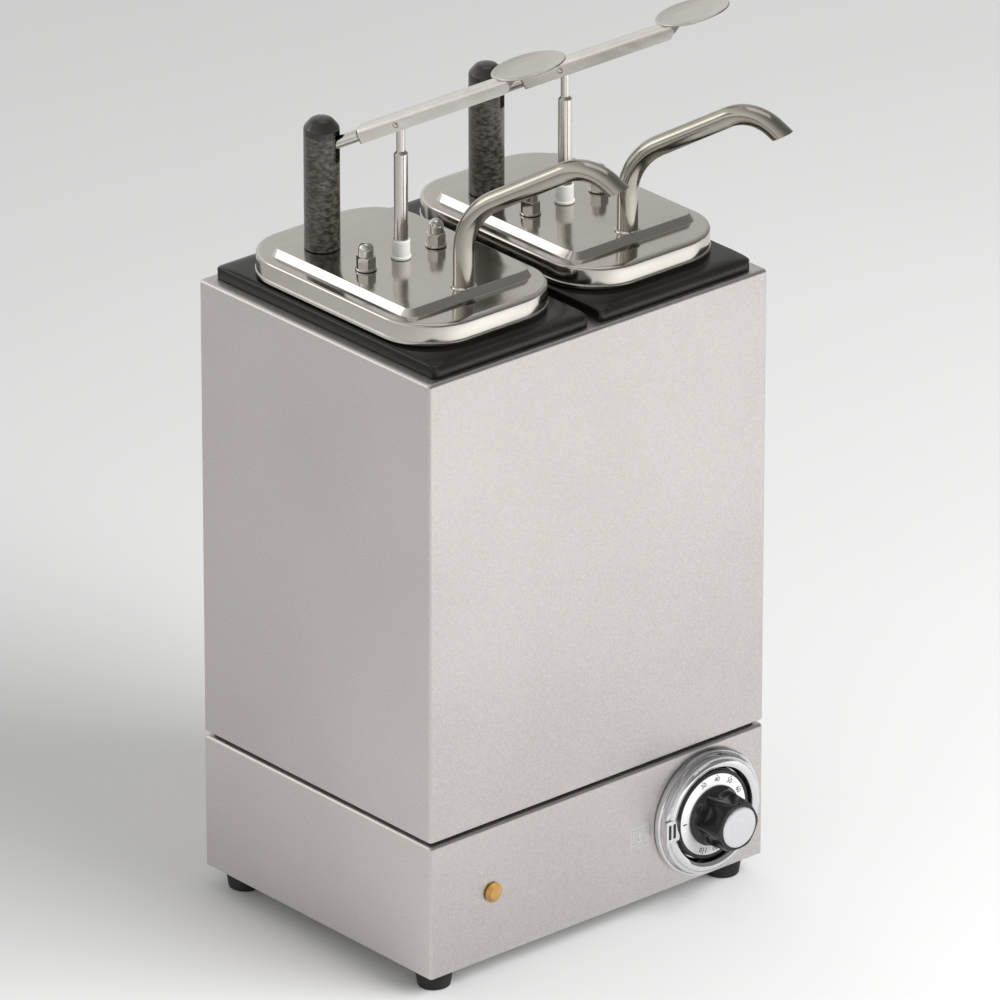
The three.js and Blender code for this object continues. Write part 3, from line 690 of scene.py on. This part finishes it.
def make_scale():
    """Numbers round the disc with a dot outside each, and the bar that marks off."""
    marks = bmesh.new()
    top = DISC_TOP - 0.05
    number_r = DISC_R - RING_WIDTH - 3.3
    dot_r = DISC_R - RING_WIDTH - 0.9

    def add(shape, x, y, angle):
        moved(shape, Vector((x, y, top)), turn(angle, "Z"))
        mesh = bpy.data.meshes.new("mark")
        shape.to_mesh(mesh)
        shape.free()
        marks.from_mesh(mesh)
        bpy.data.meshes.remove(mesh)

    for i, number in enumerate(NUMBERS):
        angle = FIRST_NUMBER_ANGLE - NUMBER_STEP * i
        add(lettering(str(number), NUMBER_SIZE), 0, number_r, angle - 90)
        add(hole(0.38, -PRINT / 2, PRINT / 2), dot_r, 0, angle)
    add(slab(3.0, 0.8, 0.1), number_r, 0, INDEX_ANGLE)
    piece("dial_numbers", marks, "dial", INK, place=DIAL)


def lobed(radius, height, depth, sides=144):
    """A ring with finger lobes, drawn in by depth at the flutes between them."""
    points = []
    for i in range(sides):
        angle = 2 * math.pi * i / sides
        dip = (0.5 - 0.5 * math.cos(KNOB_LOBES * angle)) ** 0.7
        r = radius - depth * dip
        points.append(Vector((r * math.cos(angle), r * math.sin(angle), height)))
    return points


def make_knob():
    """Lobed knob over a plain round foot: (radius, depth of the flutes, height), edge rounding."""
    low, high = KNOB_FOOT, KNOB_FACE
    cap_r = CAP_R + 0.25
    rows = rounded([
        ((SPINDLE_BORE, 0, low), 0), ((18.2, 0, low), 0.3), ((18.2, 0, low + 1.7), 0.6),
        ((17.0, 2.9, low + 3.0), 1.0), ((16.4, 3.0, 16), 3), ((15.6, 1.9, 26.6), 2),
        ((14.9, 0.7, high), 1.0), ((cap_r, 0, high), 0.3), ((cap_r, 0, high - 0.9), 0),
        ((SPINDLE_BORE, 0, high - 0.9), 0),
    ], True, 6, [0, 2])
    shape = loft([lobed(r, z, depth) for r, depth, z in rows], True)
    piece("control_knob", shape, "dial", KNOB, "knob", DIAL)


def make_knob_cap():
    low = KNOB_FACE - 0.7
    shape = turned([
        (0, low, 0), (CAP_R, low, 0), (CAP_R, low + 1.4, 0.6), (CAP_R - 1.5, low + 1.85, 1.5),
        (0, low + 2.4, 0),
    ], sides=96)
    piece("cap_disc", shape, "dial", CAP, "knob_cap", DIAL)


def make_lamp():
    place = on_front("indicator_lens")
    shape = turned([
        (0, -9, 0), (4.4, -9, 0.3), (4.4, GAP, 0), (6, GAP, 0.2), (6, 1.5, 0.5), (4.9, 2.2, 0.5),
        (4.0, 3.2, 2), (0, 4.2, 0),
    ], sides=64)
    piece("lamp_lens", shape, "housing", AMBER, "indicator_lens", place)


def make_heat_mark():
    """A small etched square with a plain thermometer in it, the sign for temperature."""
    place = DIAL @ Matrix.Translation((-BEZEL_R - 11.0, -1.5, 0))

    def frame_of(outside, line):
        inside = outside - 2 * line
        return stack([
            (outside, outside, 0.8, 0, 0), (outside, outside, 0.8, PRINT, 0.05),
            (inside, inside, 0.4, PRINT, 0.05), (inside, inside, 0.4, 0, 0),
        ], True, steps=2, arc=4)

    bulb = moved(hole(1.3, 0, PRINT), Vector((0, -2.2, 0)))
    stem = moved(stack([(1.2, 5.4, 0.6, 0, 0), (1.2, 5.4, 0.6, PRINT, 0)]), Vector((0, 0.8, 0)))
    shape = cut(frame_of(13.6, 0.7), frame_of(9.6, 0.5), bulb, stem, how="UNION")
    piece("temperature_mark", shape, "housing", CAP, place=place)


make_bezel()
make_index_marks()
make_disc()
make_scale()
make_knob()
make_knob_cap()
make_lamp()
make_heat_mark()

# ---- Pump stations ------------------------------------------------------------------------------

LID_W, LID_D = (box("lid_left")[1] - box("lid_left")[0]).xy
LID_LOW = box("lid_left")[0].z - DECK
LID_TOP = box("lid_left")[1].z - DECK
LID_CORNER = 34.0
FLANGE_TOP = 22.5
LID_SHEET = 1.5
LID_UNDER = LID_TOP - LID_SHEET - GAP
PLATEAU = (88.0, 118.0)
PLATEAU_SLOPE = 2.8
# The black frame's rim and the tub that hangs in it: width, depth and corner radius.
RIM = (104.5, 160.5, 31)
RIM_INSIDE = (100, 156, 28)
TUB = (98, 154, 27)
TUB_WALL = 1
TUB_FLOOR_ROUND = 12
ROD_Y = centre("piston_rod_left").y - HOUSING_Y
ROD_R = 4.0
BUSH_R = 5.15
BUSH_BORE = 4.35
NUT_X = (centre("cap_nut_left_b").x - centre("cap_nut_left_a").x) / 2
NUT_FLATS = 10.0
STUD_R = 3.0
STUD_BORE = 3.3
POST_NUT_FLATS = 13.0
POST_STUD_R = 4.0
POST_STUD_BORE = 4.3
PIVOT_PIN_R = 2.0
PIVOT_BORE = 2.3
LINK_PIN_R = 1.4
LINK_BORE = 1.7
SPOUT_Y = -53.0
SPOUT_R = 6.0
SPOUT_BORE = 4.9
SPOUT_PLAN = math.radians(-68)
SPOUT_TIP = (95.6, 75)
SPOUT_TIP_SLANT = math.radians(29)


def make_collar(side, place):
    """Black frame: a flange on the deck, a raised rim, and a plug that fits the opening."""
    shape = stack([
        (113, 188.6, 3, GAP, 0.4), (113, 188.6, 3, 8.3, 2.2), (106.5, 163, 32, 8.3, 1.2),
        (*RIM, 10, 0), (*RIM, 19.4, 1), (*RIM_INSIDE, 19.4, 1), (*RIM_INSIDE, -1, 0.3),
        (102, 177.4, 4, -1, 0.2), (102, 177.4, 4, -5, 0.4),
        (105.8, 181.2, 5.6, -5, 0.6), (105.8, 181.2, 5.6, GAP, 0),
    ], True)
    name, body = f"frame_{side}", f"container_{side}"
    piece(name, shape, body, BLACK, f"collar_{side}", place)


def make_vessel(side, place):
    """Deep-drawn tub with a rounded floor and a turned-out lip."""
    low, high = box(f"vessel_{side}")
    low, high = low.z - DECK, high.z - DECK
    floor = low + TUB_WALL

    def ring(inset, height, edge):
        width, depth, corner = TUB
        return width - 2 * inset, depth - 2 * inset, corner - inset, height, edge

    shape = stack([
        ring(TUB_FLOOR_ROUND, low, 0), ring(0, low, TUB_FLOOR_ROUND), ring(0, high - TUB_WALL, 0.8),
        (*RIM, high - TUB_WALL, 0.3), (*RIM, high, 0.5), ring(TUB_WALL, high, 1.2),
        ring(TUB_WALL, floor, TUB_FLOOR_ROUND - TUB_WALL), ring(TUB_FLOOR_ROUND, floor, 0),
    ])
    name, body = f"container_{side}_tub", f"container_{side}"
    piece(name, shape, body, INNER, f"vessel_{side}", place)


def lid_ring(inset, height, edge, corner=None):
    return LID_W - 2 * inset, LID_D - 2 * inset, corner or LID_CORNER - inset, height, edge


def plateau_ring(grow, height, edge, corner):
    return PLATEAU[0] + 2 * grow, PLATEAU[1] + 2 * grow, corner, height, edge


def make_lid(side, place):
    """Pressed lid: rolled lower edge, skirt, shoulder and a raised flat with a sloping rim."""
    t = LID_SHEET
    low, high = LID_LOW, LID_TOP
    slope = PLATEAU_SLOPE
    outside = stack([
        lid_ring(1.6, low, 0), lid_ring(0, low, 0.7), lid_ring(0, low + 2.1, 0.5),
        lid_ring(0.6, low + 2.6, 0.4), lid_ring(0.5, FLANGE_TOP, 1.7),
        plateau_ring(slope, FLANGE_TOP, 0.5, 9), plateau_ring(0, high, 0.5, 5),
        plateau_ring(-8, high, 0, 4),
    ], steps=6, arc=14)
    inside = stack([
        lid_ring(0.6 + t, low - 1, 0), lid_ring(0.6 + t, FLANGE_TOP - t, 0.8),
        plateau_ring(slope - t, FLANGE_TOP - t, 0.8, 8), plateau_ring(-t, high - t, 0.6, 4),
        plateau_ring(-8, high - t, 0, 4),
    ], steps=4, arc=14)
    post = post_plan(side)
    spots = [
        (BUSH_R + GAP, 0, ROD_Y), (STUD_BORE, -NUT_X, ROD_Y), (STUD_BORE, NUT_X, ROD_Y),
        (SPOUT_R + GAP, 0, SPOUT_Y), (POST_STUD_BORE, post.x, post.y),
    ]
    holes = [moved(hole(r, high - 6, high + 4), Vector((x, y, 0))) for r, x, y in spots]
    shape = cut(outside, inside, *holes)
    name, body = f"cover_{side}", f"pump_{side}"
    piece(name, shape, body, POLISHED, f"lid_{side}", place, sharp=24)


def post_plan(side):
    spot = centre(f"grip_post_{side}") - centre(f"vessel_{side}")
    return Vector((spot.x, spot.y, 0))


def spout_point(along, up):
    """A place on the spout's middle line: how far out from its foot, how high over the lid."""
    x, y = along * math.cos(SPOUT_PLAN), along * math.sin(SPOUT_PLAN)
    return Vector((x, SPOUT_Y + y, LID_TOP + up))


def make_spout(side, place):
    """Bent tube from the pump's port, up through the lid and out, with a weld bead at its foot."""
    port = box(f"spout_{side}")[0].z + SPOUT_R - DECK
    tip = spout_point(*SPOUT_TIP)
    corners = [
        (Vector((0, ROD_Y - 20.6, port)), 0), (Vector((0, SPOUT_Y, port)), 12),
        (spout_point(0, 43.4), 40), (spout_point(77, 88.5), 26), (tip, 0),
    ]
    out, down = math.sin(SPOUT_TIP_SLANT), math.cos(SPOUT_TIP_SLANT)
    normal = Vector((out * math.cos(SPOUT_PLAN), out * math.sin(SPOUT_PLAN), -down))
    path = rounded(corners, steps=24)
    shape = tube(path, SPOUT_R, SPOUT_BORE, 48, (tip, normal))
    piece(f"outlet_{side}", shape, f"pump_{side}", TUBE, f"spout_{side}", place)
    weld = turned([
        (SPOUT_R + 0.05, LID_TOP + 0.02, 0), (SPOUT_R + 1.7, LID_TOP + 0.02, 0.2),
        (SPOUT_R + 1.2, LID_TOP + 0.7, 0.4), (SPOUT_R + 0.05, LID_TOP + 1.5, 0.2),
    ], True)
    foot = place @ Matrix.Translation((0, SPOUT_Y, 0))
    piece(f"outlet_weld_{side}", weld, f"pump_{side}", TURNED, place=foot)


def make_cylinder(side, axis):
    """Pump barrel hung from an oval flange, with the two studs that hold it to the lid."""
    body = f"pump_{side}"
    low, top = box(f"pump_cylinder_{side}")[0].z - DECK, LID_UNDER
    barrel = turned([
        (5, low, 0.3), (20, low, 0.8), (20, top - 2, 0),
        (18, top - 2.2, 0), (18, low + 2, 0.3), (5, low + 2, 0.3),
    ], True, sides=96)
    flange = stack([
        (56, 30, 14, top - 2.5, 0), (68, 42, 20, top - 2.5, 0.4),
        (68, 42, 20, top, 0.4), (56, 30, 14, top, 0),
    ])
    bore = hole(5.3, top - 6, top + 1)
    port_z = box(f"spout_{side}")[0].z + SPOUT_R - DECK
    port = moved(hole(SPOUT_BORE, 10, 30), turn(90, "X"), Vector((0, 0, port_z)))
    shape = cut(cut(barrel, flange, how="UNION"), bore, port)
    piece(f"barrel_{side}", shape, body, INNER, f"pump_cylinder_{side}", axis)
    for name, x in (("a", -NUT_X), ("b", NUT_X)):
        foot, head = top + 0.05, LID_TOP + 9
        stud = turned([
            (0, foot, 0), (STUD_R, foot, 0), (STUD_R, head, 0.4), (0, head, 0),
        ], sides=32)
        spot = axis @ Matrix.Translation((x, 0, 0))
        piece(f"flange_stud_{side}_{name}", stud, body, TURNED, place=spot)


def make_valve(side, axis):
    """Seat of the intake valve, with cross notches that let the sauce in under it."""
    low, high = box(f"intake_valve_{side}")
    low, high = low.z - DECK, high.z - DECK
    ring = turned([
        (5, low, 0.3), (16, low, 0.8), (16, high - 7, 0.5), (18, high - 5, 0.5), (18, high, 0.5),
        (8, high, 0.5), (8, low + 9, 0.5), (5, low + 5, 0.3),
    ], True)
    notches = [moved(slab(60, 8, 6, 1), Vector((0, 0, low - 2)), turn(a, "Z")) for a in (0, 90)]
    shape = cut(ring, *notches)
    name, body = f"valve_seat_{side}", f"pump_{side}"
    piece(name, shape, body, WHITE, f"intake_valve_{side}", axis)


def make_ball(side):
    node = f"valve_ball_{side}"
    low, high = box(node)
    r = (high.z - low.z) / 2
    arc = [(r * math.sin(a), -r * math.cos(a), 0) for a in np.linspace(0, math.pi, 33)]
    arc[0], arc[-1] = (0, -r, 0), (0, r, 0)
    shape = turned(arc, sides=48)
    place = Matrix.Translation(centre(node))
    piece(f"check_ball_{side}", shape, f"ball_{side}", TURNED, node, place)


def make_bush(side, axis):
    """White bush that guides the rod through the lid, with a thin flange on top of the lid."""
    top = box(f"guide_bush_{side}")[1].z - DECK
    r = BUSH_R
    shape = turned([
        (BUSH_BORE, LID_UNDER, 0), (r, LID_UNDER, 0.2), (r, LID_TOP + GAP, 0),
        (5.8, LID_TOP + GAP, 0.2), (5.8, LID_TOP + 1.6, 0.4), (r, LID_TOP + 1.8, 0.3),
        (r, top, 0.9), (BUSH_BORE, top, 0.4),
    ], True)
    name, body = f"rod_bush_{side}", f"pump_{side}"
    piece(name, shape, body, WHITE, f"guide_bush_{side}", axis)


def make_nut(side, name, x, axis):
    """Domed cap nut: a chamfered hexagon on a washer face, with a tall dome and a blind bore."""
    low = LID_TOP + GAP
    high = low + 8.2
    corner = NUT_FLATS / math.sqrt(3)
    hexagon = turned([(0, low, 0), (corner, low, 0), (corner, high, 0), (0, high, 0)], sides=6)
    chamfers = turned([
        (0, low - 1, 0), (4.2, low - 1, 0), (6.4, low + 1, 0), (6.4, low + 7.2, 0),
        (4.6, high, 0), (0, high, 0),
    ], sides=64)
    head = cut(hexagon, chamfers, how="INTERSECT")
    foot = turned([
        (0, low, 0), (6.1, low, 0.3), (6.1, low + 1.3, 0.4), (0, low + 1.3, 0),
    ], sides=64)
    dome = turned([
        (0, low + 6.5, 0), (4.4, low + 6.5, 0), (4.4, low + 16, 4.2), (0, low + 16, 0),
    ], sides=64, steps=12)
    bore = hole(STUD_BORE, low - 1, low + 9.3)
    shape = cut(cut(head, foot, dome, how="UNION"), bore)
    spot = axis @ Matrix.Translation((x, 0, 0))
    node = f"cap_nut_{side}_{name}"
    piece(f"dome_nut_{side}_{name}", shape, f"pump_{side}", TURNED, node, spot)


def pivot_frame(side):
    """The lever's own frame at rest: origin on the pivot, +X along the lever, +Y along the pins."""
    pivot, link = centre(f"pivot_pin_{side}"), centre(f"link_pin_{side}")
    along = (link - pivot).normalized()
    axis = Vector((0, 0, 1)).cross(along).normalized()
    up = along.cross(axis)
    turned_axes = Matrix((along, axis, up)).transposed().to_4x4()
    return Matrix.Translation(pivot) @ turned_axes, (link - pivot).length


def flat_frame(side):
    """The same frame kept level, for the pieces on the lid."""
    pivot, link = centre(f"pivot_pin_{side}"), centre(f"link_pin_{side}")
    plan = math.atan2(link.y - pivot.y, link.x - pivot.x)
    return Matrix.Translation(pivot) @ Matrix.Rotation(plan, 4, "Z")


def pin(radius, half, edge=0.5):
    """A round bar along Y, half its length to each side."""
    shape = turned([
        (0, -half, 0), (radius * 0.6, -half, 0), (radius, -half, edge),
        (radius, half, edge), (radius * 0.6, half, 0), (0, half, 0),
    ], sides=32)
    return moved(shape, turn(90, "X"))


def make_post(side):
    """Grip post with a domed top and a slot for the lever, its stud and nut, and the pivot pin."""
    node = f"grip_post_{side}"
    body = f"pump_{side}"
    place = flat_frame(side)
    pivot_z = centre(f"pivot_pin_{side}").z
    low, high = [corner.z - pivot_z for corner in box(node)]
    r = half_width(node)
    solid = turned([
        (0, low, 0), (r, low, 0.5), (r, high - 6.2, 4), (r - 4.2, high - 1.1, 5), (0, high, 0),
    ], sides=96, steps=10)
    slot = moved(stack([(24, 8.2, 0.8, -7, 0), (24, 8.2, 0.8, 12, 0)]), Vector((5.5, 0, 0)))
    stud_hole = hole(POST_STUD_BORE, low - 1, low + 36)
    shape = cut(solid, slot, pin(PIVOT_BORE, 9.3, 0.01), stud_hole)
    piece(f"post_{side}", shape, body, GRIP, node, place)

    foot, head = [corner.z - pivot_z for corner in box(f"post_stud_{side}")]
    foot += 0.5
    stud = turned([
        (0, foot, 0), (POST_STUD_R, foot, 0), (POST_STUD_R, head, 0.6), (0, head, 0),
    ], sides=32)
    under = LID_UNDER + DECK - pivot_z
    washer = turned([
        (0, under - 1.6, 0), (8, under - 1.6, 0.3), (8, under, 0.3), (0, under, 0),
    ], sides=48)
    low, high = under - 7, under - 1.5
    corner = POST_NUT_FLATS / math.sqrt(3)
    nut = turned([(0, low, 0), (corner, low, 0), (corner, high, 0), (0, high, 0)], sides=6)
    chamfer = turned([(0, low, 0), (6.2, low, 0), (8, low + 1.2, 0), (8, under, 0), (0, under, 0)])
    shape = cut(cut(nut, chamfer, how="INTERSECT"), stud, washer, how="UNION")
    piece(f"stud_{side}", shape, body, TURNED, f"post_stud_{side}", place)

    name, node = f"hinge_pin_{side}", f"pivot_pin_{side}"
    piece(name, pin(PIVOT_PIN_R, 9.2), body, TURNED, node, place)


def make_rod(side, axis):
    """Piston rod: a full shaft, a cone, a slim neck and the slotted eye for the link pin."""
    low = box(f"piston_rod_{side}")[0].z - DECK
    link = centre(f"link_pin_{side}")
    pin_z = link.z - DECK
    arm = link - centre(f"pivot_pin_{side}")
    reach = arm.length - arm.xy.length
    shaft = turned([
        (0, low, 0), (ROD_R, low, 0.4), (ROD_R, 90, 0.5), (2.5, 91.5, 0.3),
        (2.5, pin_z - 2.4, 0), (0, pin_z - 2.4, 0),
    ], sides=48)
    width = reach + 5.4
    eye = stack([
        (width - 2, 3.4, 1.7, -2.2, 0), (width, 5.4, 2.7, -2.2, 0.4), (width, 5.4, 2.7, 2.2, 0.4),
        (width - 2, 3.4, 1.7, 2.2, 0),
    ], arc=12)
    slot = stack([(reach + 3.9, 3.9, 1.95, -4, 0), (reach + 3.9, 3.9, 1.95, 4, 0)], arc=12)
    shape = cut(eye, slot)
    lie = flat_frame(side).to_3x3().to_4x4()
    moved(shape, Vector((reach / 2, 0, 0)), turn(90, "X"), lie, Vector((0, 0, pin_z)))
    shape = cut(shaft, shape, how="UNION")
    name, node = f"rod_{side}_steel", f"piston_rod_{side}"
    piece(name, shape, f"rod_{side}", TURNED, node, axis)


def make_piston(side, axis):
    """Piston with two lands and a groove between them, bored for the end of the rod."""
    node = f"piston_{side}"
    low, high = [corner.z - DECK for corner in box(node)]
    r = half_width(node)
    bore = ROD_R + GAP
    shape = turned([
        (0, low, 0), (r, low, 0.6), (r, low + 4, 0.4), (r - 1.6, low + 5, 0.3),
        (r - 1.6, low + 9, 0.3), (r, low + 10, 0.4), (r, high, 0.6), (bore, high, 0),
        (bore, low + 4, 0), (0, low + 4, 0),
    ])
    piece(f"piston_cup_{side}", shape, f"rod_{side}", SEAL, node, axis)


def make_spring(side, axis):
    """Closed-end coil spring, built at its rest length; on the real pump it shortens as the rod
    goes down.
    """
    node = f"return_spring_{side}"
    low, high = [corner.z - DECK for corner in box(node)]
    wire, radius = 1.15, 12.0
    dead, live = 0.8, 5.0
    total = 2 * dead + live
    rise = high - low - 2 * wire - 2 * dead * 2 * wire

    def height(turns):
        closed = min(turns, dead) + max(turns - dead - live, 0)
        open_part = min(max(turns - dead, 0), live) / live
        return low + wire + closed * 2 * wire + open_part * rise

    path = []
    for t in np.linspace(0, total, int(total * 40) + 1):
        angle = 2 * math.pi * t
        path.append(Vector((radius * math.cos(angle), radius * math.sin(angle), height(t))))
    coil = tube(path, wire, 0, 12)
    made = piece(f"spring_{side}", coil, f"pump_{side}", TURNED, node, axis)
    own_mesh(made)


LEVER_ROD_R = 3.5
LEVER_TENON_R = 2.6
CHANNEL_FROM = 24.5
CHANNEL_TO = 124.0
CHANNEL_W = 12.0
CHANNEL_UP = 4.8
CHANNEL_DOWN = 3.8
PLATE_AT = 135.0
PLATE_R = 21.5
PLATE_SINK = 2.2
PLATE_TILT = 11.0


def make_lever(side):
    """Lever: a round rod, the channel clamped over it, the link pin and the dished thumb plate."""
    body = f"lever_{side}"
    place, reach = pivot_frame(side)
    along = turn(90, "Y")
    shoulder, end = CHANNEL_FROM - GAP, CHANNEL_FROM + 10
    rod = moved(turned([
        (0, -4.4, 0), (LEVER_TENON_R, -4.4, 0), (LEVER_ROD_R, -3.4, 0),
        (LEVER_ROD_R, shoulder, 0.2), (LEVER_TENON_R, shoulder, 0),
        (LEVER_TENON_R, end, 0.4), (0, end, 0),
    ], sides=48), along)
    rod = cut(rod, pin(PIVOT_BORE, 10, 0.01))
    piece(f"lever_bar_{side}", rod, body, TURNED, f"lever_rod_{side}", place)

    length, middle = CHANNEL_TO - CHANNEL_FROM, (CHANNEL_TO + CHANNEL_FROM) / 2
    w = CHANNEL_W
    outside = stack([
        (length, w, 2.8, -CHANNEL_DOWN, 0), (length, w, 2.8, CHANNEL_UP, 3.0),
        (length - 9, w - 9, 1, CHANNEL_UP, 0),
    ], steps=6, arc=6)
    inside = stack([
        (length - 2, w - 2, 1.3, -CHANNEL_DOWN - 1, 0),
        (length - 2, w - 2, 1.3, CHANNEL_UP - 1, 2.0),
        (length - 8, w - 8, 0.5, CHANNEL_UP - 1, 0),
    ], steps=4, arc=6)
    moved(outside, Vector((middle, 0, 0)))
    moved(inside, Vector((middle, 0, 0)))
    tail_end = Vector((CHANNEL_TO, 0, -CHANNEL_DOWN - 2.6))
    tail = moved(slab(30, 20, 10), Vector((0, 0, -5)), turn(-35, "Y"), tail_end)
    rod_hole = moved(hole(LEVER_TENON_R + GAP, 0, 30), along)
    pin_hole = moved(pin(LINK_BORE, 10, 0.01), Vector((reach, 0, 0)))
    rest = Matrix.Translation((PLATE_AT, 0, CHANNEL_UP - PLATE_SINK)) @ turn(PLATE_TILT, "Y")
    seat = moved(slab(60, 30, 10), Vector((0, 0, -GAP)), rest)
    shape = cut(outside, inside, tail, seat, rod_hole, pin_hole)
    name, node = f"lever_arm_{side}", f"lever_channel_{side}"
    piece(name, shape, body, ARM, node, place, sharp=24)

    link = pin(LINK_PIN_R, 6.4, 0.4)
    spot = place @ Matrix.Translation((reach, 0, 0))
    piece(f"eye_pin_{side}", link, body, TURNED, f"link_pin_{side}", spot)

    r = PLATE_R
    plate = turned([
        (0, 0.35, 0), (10, 0.5, 4), (r - 4, 1.5, 3), (r - 0.4, 2.7, 0.5), (r, 3.4, 0.5),
        (r - 0.8, 4, 0.4), (r - 4, 3.2, 3), (12, 2.35, 5), (0, 2.0, 0),
    ], sides=128)
    name, node = f"thumb_rest_{side}", f"thumb_plate_{side}"
    piece(name, plate, body, POLISHED, node, place @ rest)


def make_station(side):
    spot = centre(f"vessel_{side}")
    place = Matrix.Translation((spot.x, spot.y, DECK))
    axis = place @ Matrix.Translation((0, ROD_Y, 0))
    make_collar(side, place)
    make_vessel(side, place)
    make_lid(side, place)
    make_spout(side, place)
    make_cylinder(side, axis)
    make_valve(side, axis)
    make_ball(side)
    make_bush(side, axis)
    make_nut(side, "a", -NUT_X, axis)
    make_nut(side, "b", NUT_X, axis)
    make_post(side)
    make_rod(side, axis)
    make_piston(side, axis)
    make_spring(side, axis)
    make_lever(side)


for side in SIDES:
    make_station(side)

# ---- CAD pieces that show as they are -----------------------------------------------------------

KEPT = {
    "bottom_plate": INNER,
    "seam_frame": SEAL,
    "heating_element": TURNED,
    "thermostat_body": CERAMIC,
    "knob_spindle": TURNED,
    "indicator_holder": BLACK,
    "terminal_block": CERAMIC,
}
for node, surface in KEPT.items():
    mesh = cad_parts[node].data
    mesh.materials.clear()
    mesh.materials.append(surface)

# ---- Floor, light and camera --------------------------------------------------------------------

CAMERA_AZIMUTH = math.radians(-40.93)
CAMERA_ELEVATION = math.radians(24.38)
CAMERA_DISTANCE = 6.806
CAMERA_TARGET = Vector((0.01216, HOUSING_Y * MM, 0.2343))
CAMERA_LENS = 433.2
WORLD_NEAR = 0.24
WORLD_FAR = 0.96


def make_floor():
    bm = bmesh.new()
    bmesh.ops.create_circle(bm, cap_ends=True, radius=6.0, segments=96)
    mesh = bpy.data.meshes.new("floor")
    bm.to_mesh(mesh)
    bm.free()
    s = Surface("floor_paint", 0.8)
    s.colours(s.between(s.noise(1.5, 3), 0, 1), (0.80, 0.80, 0.80), (0.82, 0.82, 0.82))
    mesh.materials.append(s.material)
    floor = bpy.data.objects.new("floor", mesh)
    bpy.context.scene.collection.objects.link(floor)


def make_light(name, spot, aim, size, power, on_floor=True, in_metal=True):
    light = bpy.data.lights.new(name, "AREA")
    light.shape = "RECTANGLE"
    light.size, light.size_y = size
    light.energy = power
    lamp = bpy.data.objects.new(name, light)
    lamp.location = spot
    lamp.visible_diffuse = on_floor
    lamp.visible_glossy = in_metal
    lamp.rotation_euler = (Vector(aim) - Vector(spot)).to_track_quat("-Z", "Y").to_euler()
    bpy.context.scene.collection.objects.link(lamp)


def make_world():
    """Studio air: bright behind the object, dim on the side the camera stands."""
    world = bpy.data.worlds.new("studio")
    world.use_nodes = True
    tree = world.node_tree
    heading = add_node(tree, "TexCoord", {})["Generated"]
    spin = {"Vector": heading, "Angle": CAMERA_AZIMUTH}
    facing = add_node(tree, "VectorRotate", spin, rotation_type="Z_AXIS")["Vector"]
    parts = add_node(tree, "SeparateXYZ", {"Vector": facing})
    depth = {
        "Value": parts["Y"], "From Min": -0.9, "From Max": 0.9,
        "To Min": WORLD_NEAR, "To Max": WORLD_FAR,
    }
    level = add_node(tree, "MapRange", depth, interpolation_type="SMOOTHSTEP")["Result"]
    height = {
        "Value": parts["Z"], "From Min": 0.5, "From Max": 1.0, "To Min": 1.0, "To Max": 0.5,
    }
    dimming = add_node(tree, "MapRange", height)["Result"]
    strength = add_node(tree, "Math", {0: level, 1: dimming}, operation="MULTIPLY")["Value"]
    background = tree.nodes["Background"]
    background.inputs["Color"].default_value = (1.0, 0.995, 0.985, 1)
    tree.links.new(strength, background.inputs["Strength"])
    bpy.context.scene.world = world


def make_camera():
    data = bpy.data.cameras.new("camera")
    data.sensor_width = 36
    data.lens = CAMERA_LENS
    camera = bpy.data.objects.new("camera", data)
    level = math.cos(CAMERA_ELEVATION)
    x, y = math.sin(CAMERA_AZIMUTH) * level, -math.cos(CAMERA_AZIMUTH) * level
    back = Vector((x, y, math.sin(CAMERA_ELEVATION)))
    camera.location = CAMERA_TARGET + back * CAMERA_DISTANCE
    camera.rotation_euler = (-back).to_track_quat("-Z", "Y").to_euler()
    data.clip_end = 60
    bpy.context.scene.collection.objects.link(camera)
    bpy.context.scene.camera = camera


make_floor()
make_world()
make_light("key", (0.75, -1.7, 1.5), (0, 0, 0.1), (1.7, 1.7), 66, in_metal=False)
make_light("top", (0.3, 0.2, 2.4), (0, 0, 0.3), (1.4, 1.4), 4)
make_light("edge", (-1.6, 1.75, 1.3), (0, 0, 0.4), (0.9, 0.9), 3.5, on_floor=False)
make_camera()
bpy.context.scene.view_settings.view_transform = "Standard"
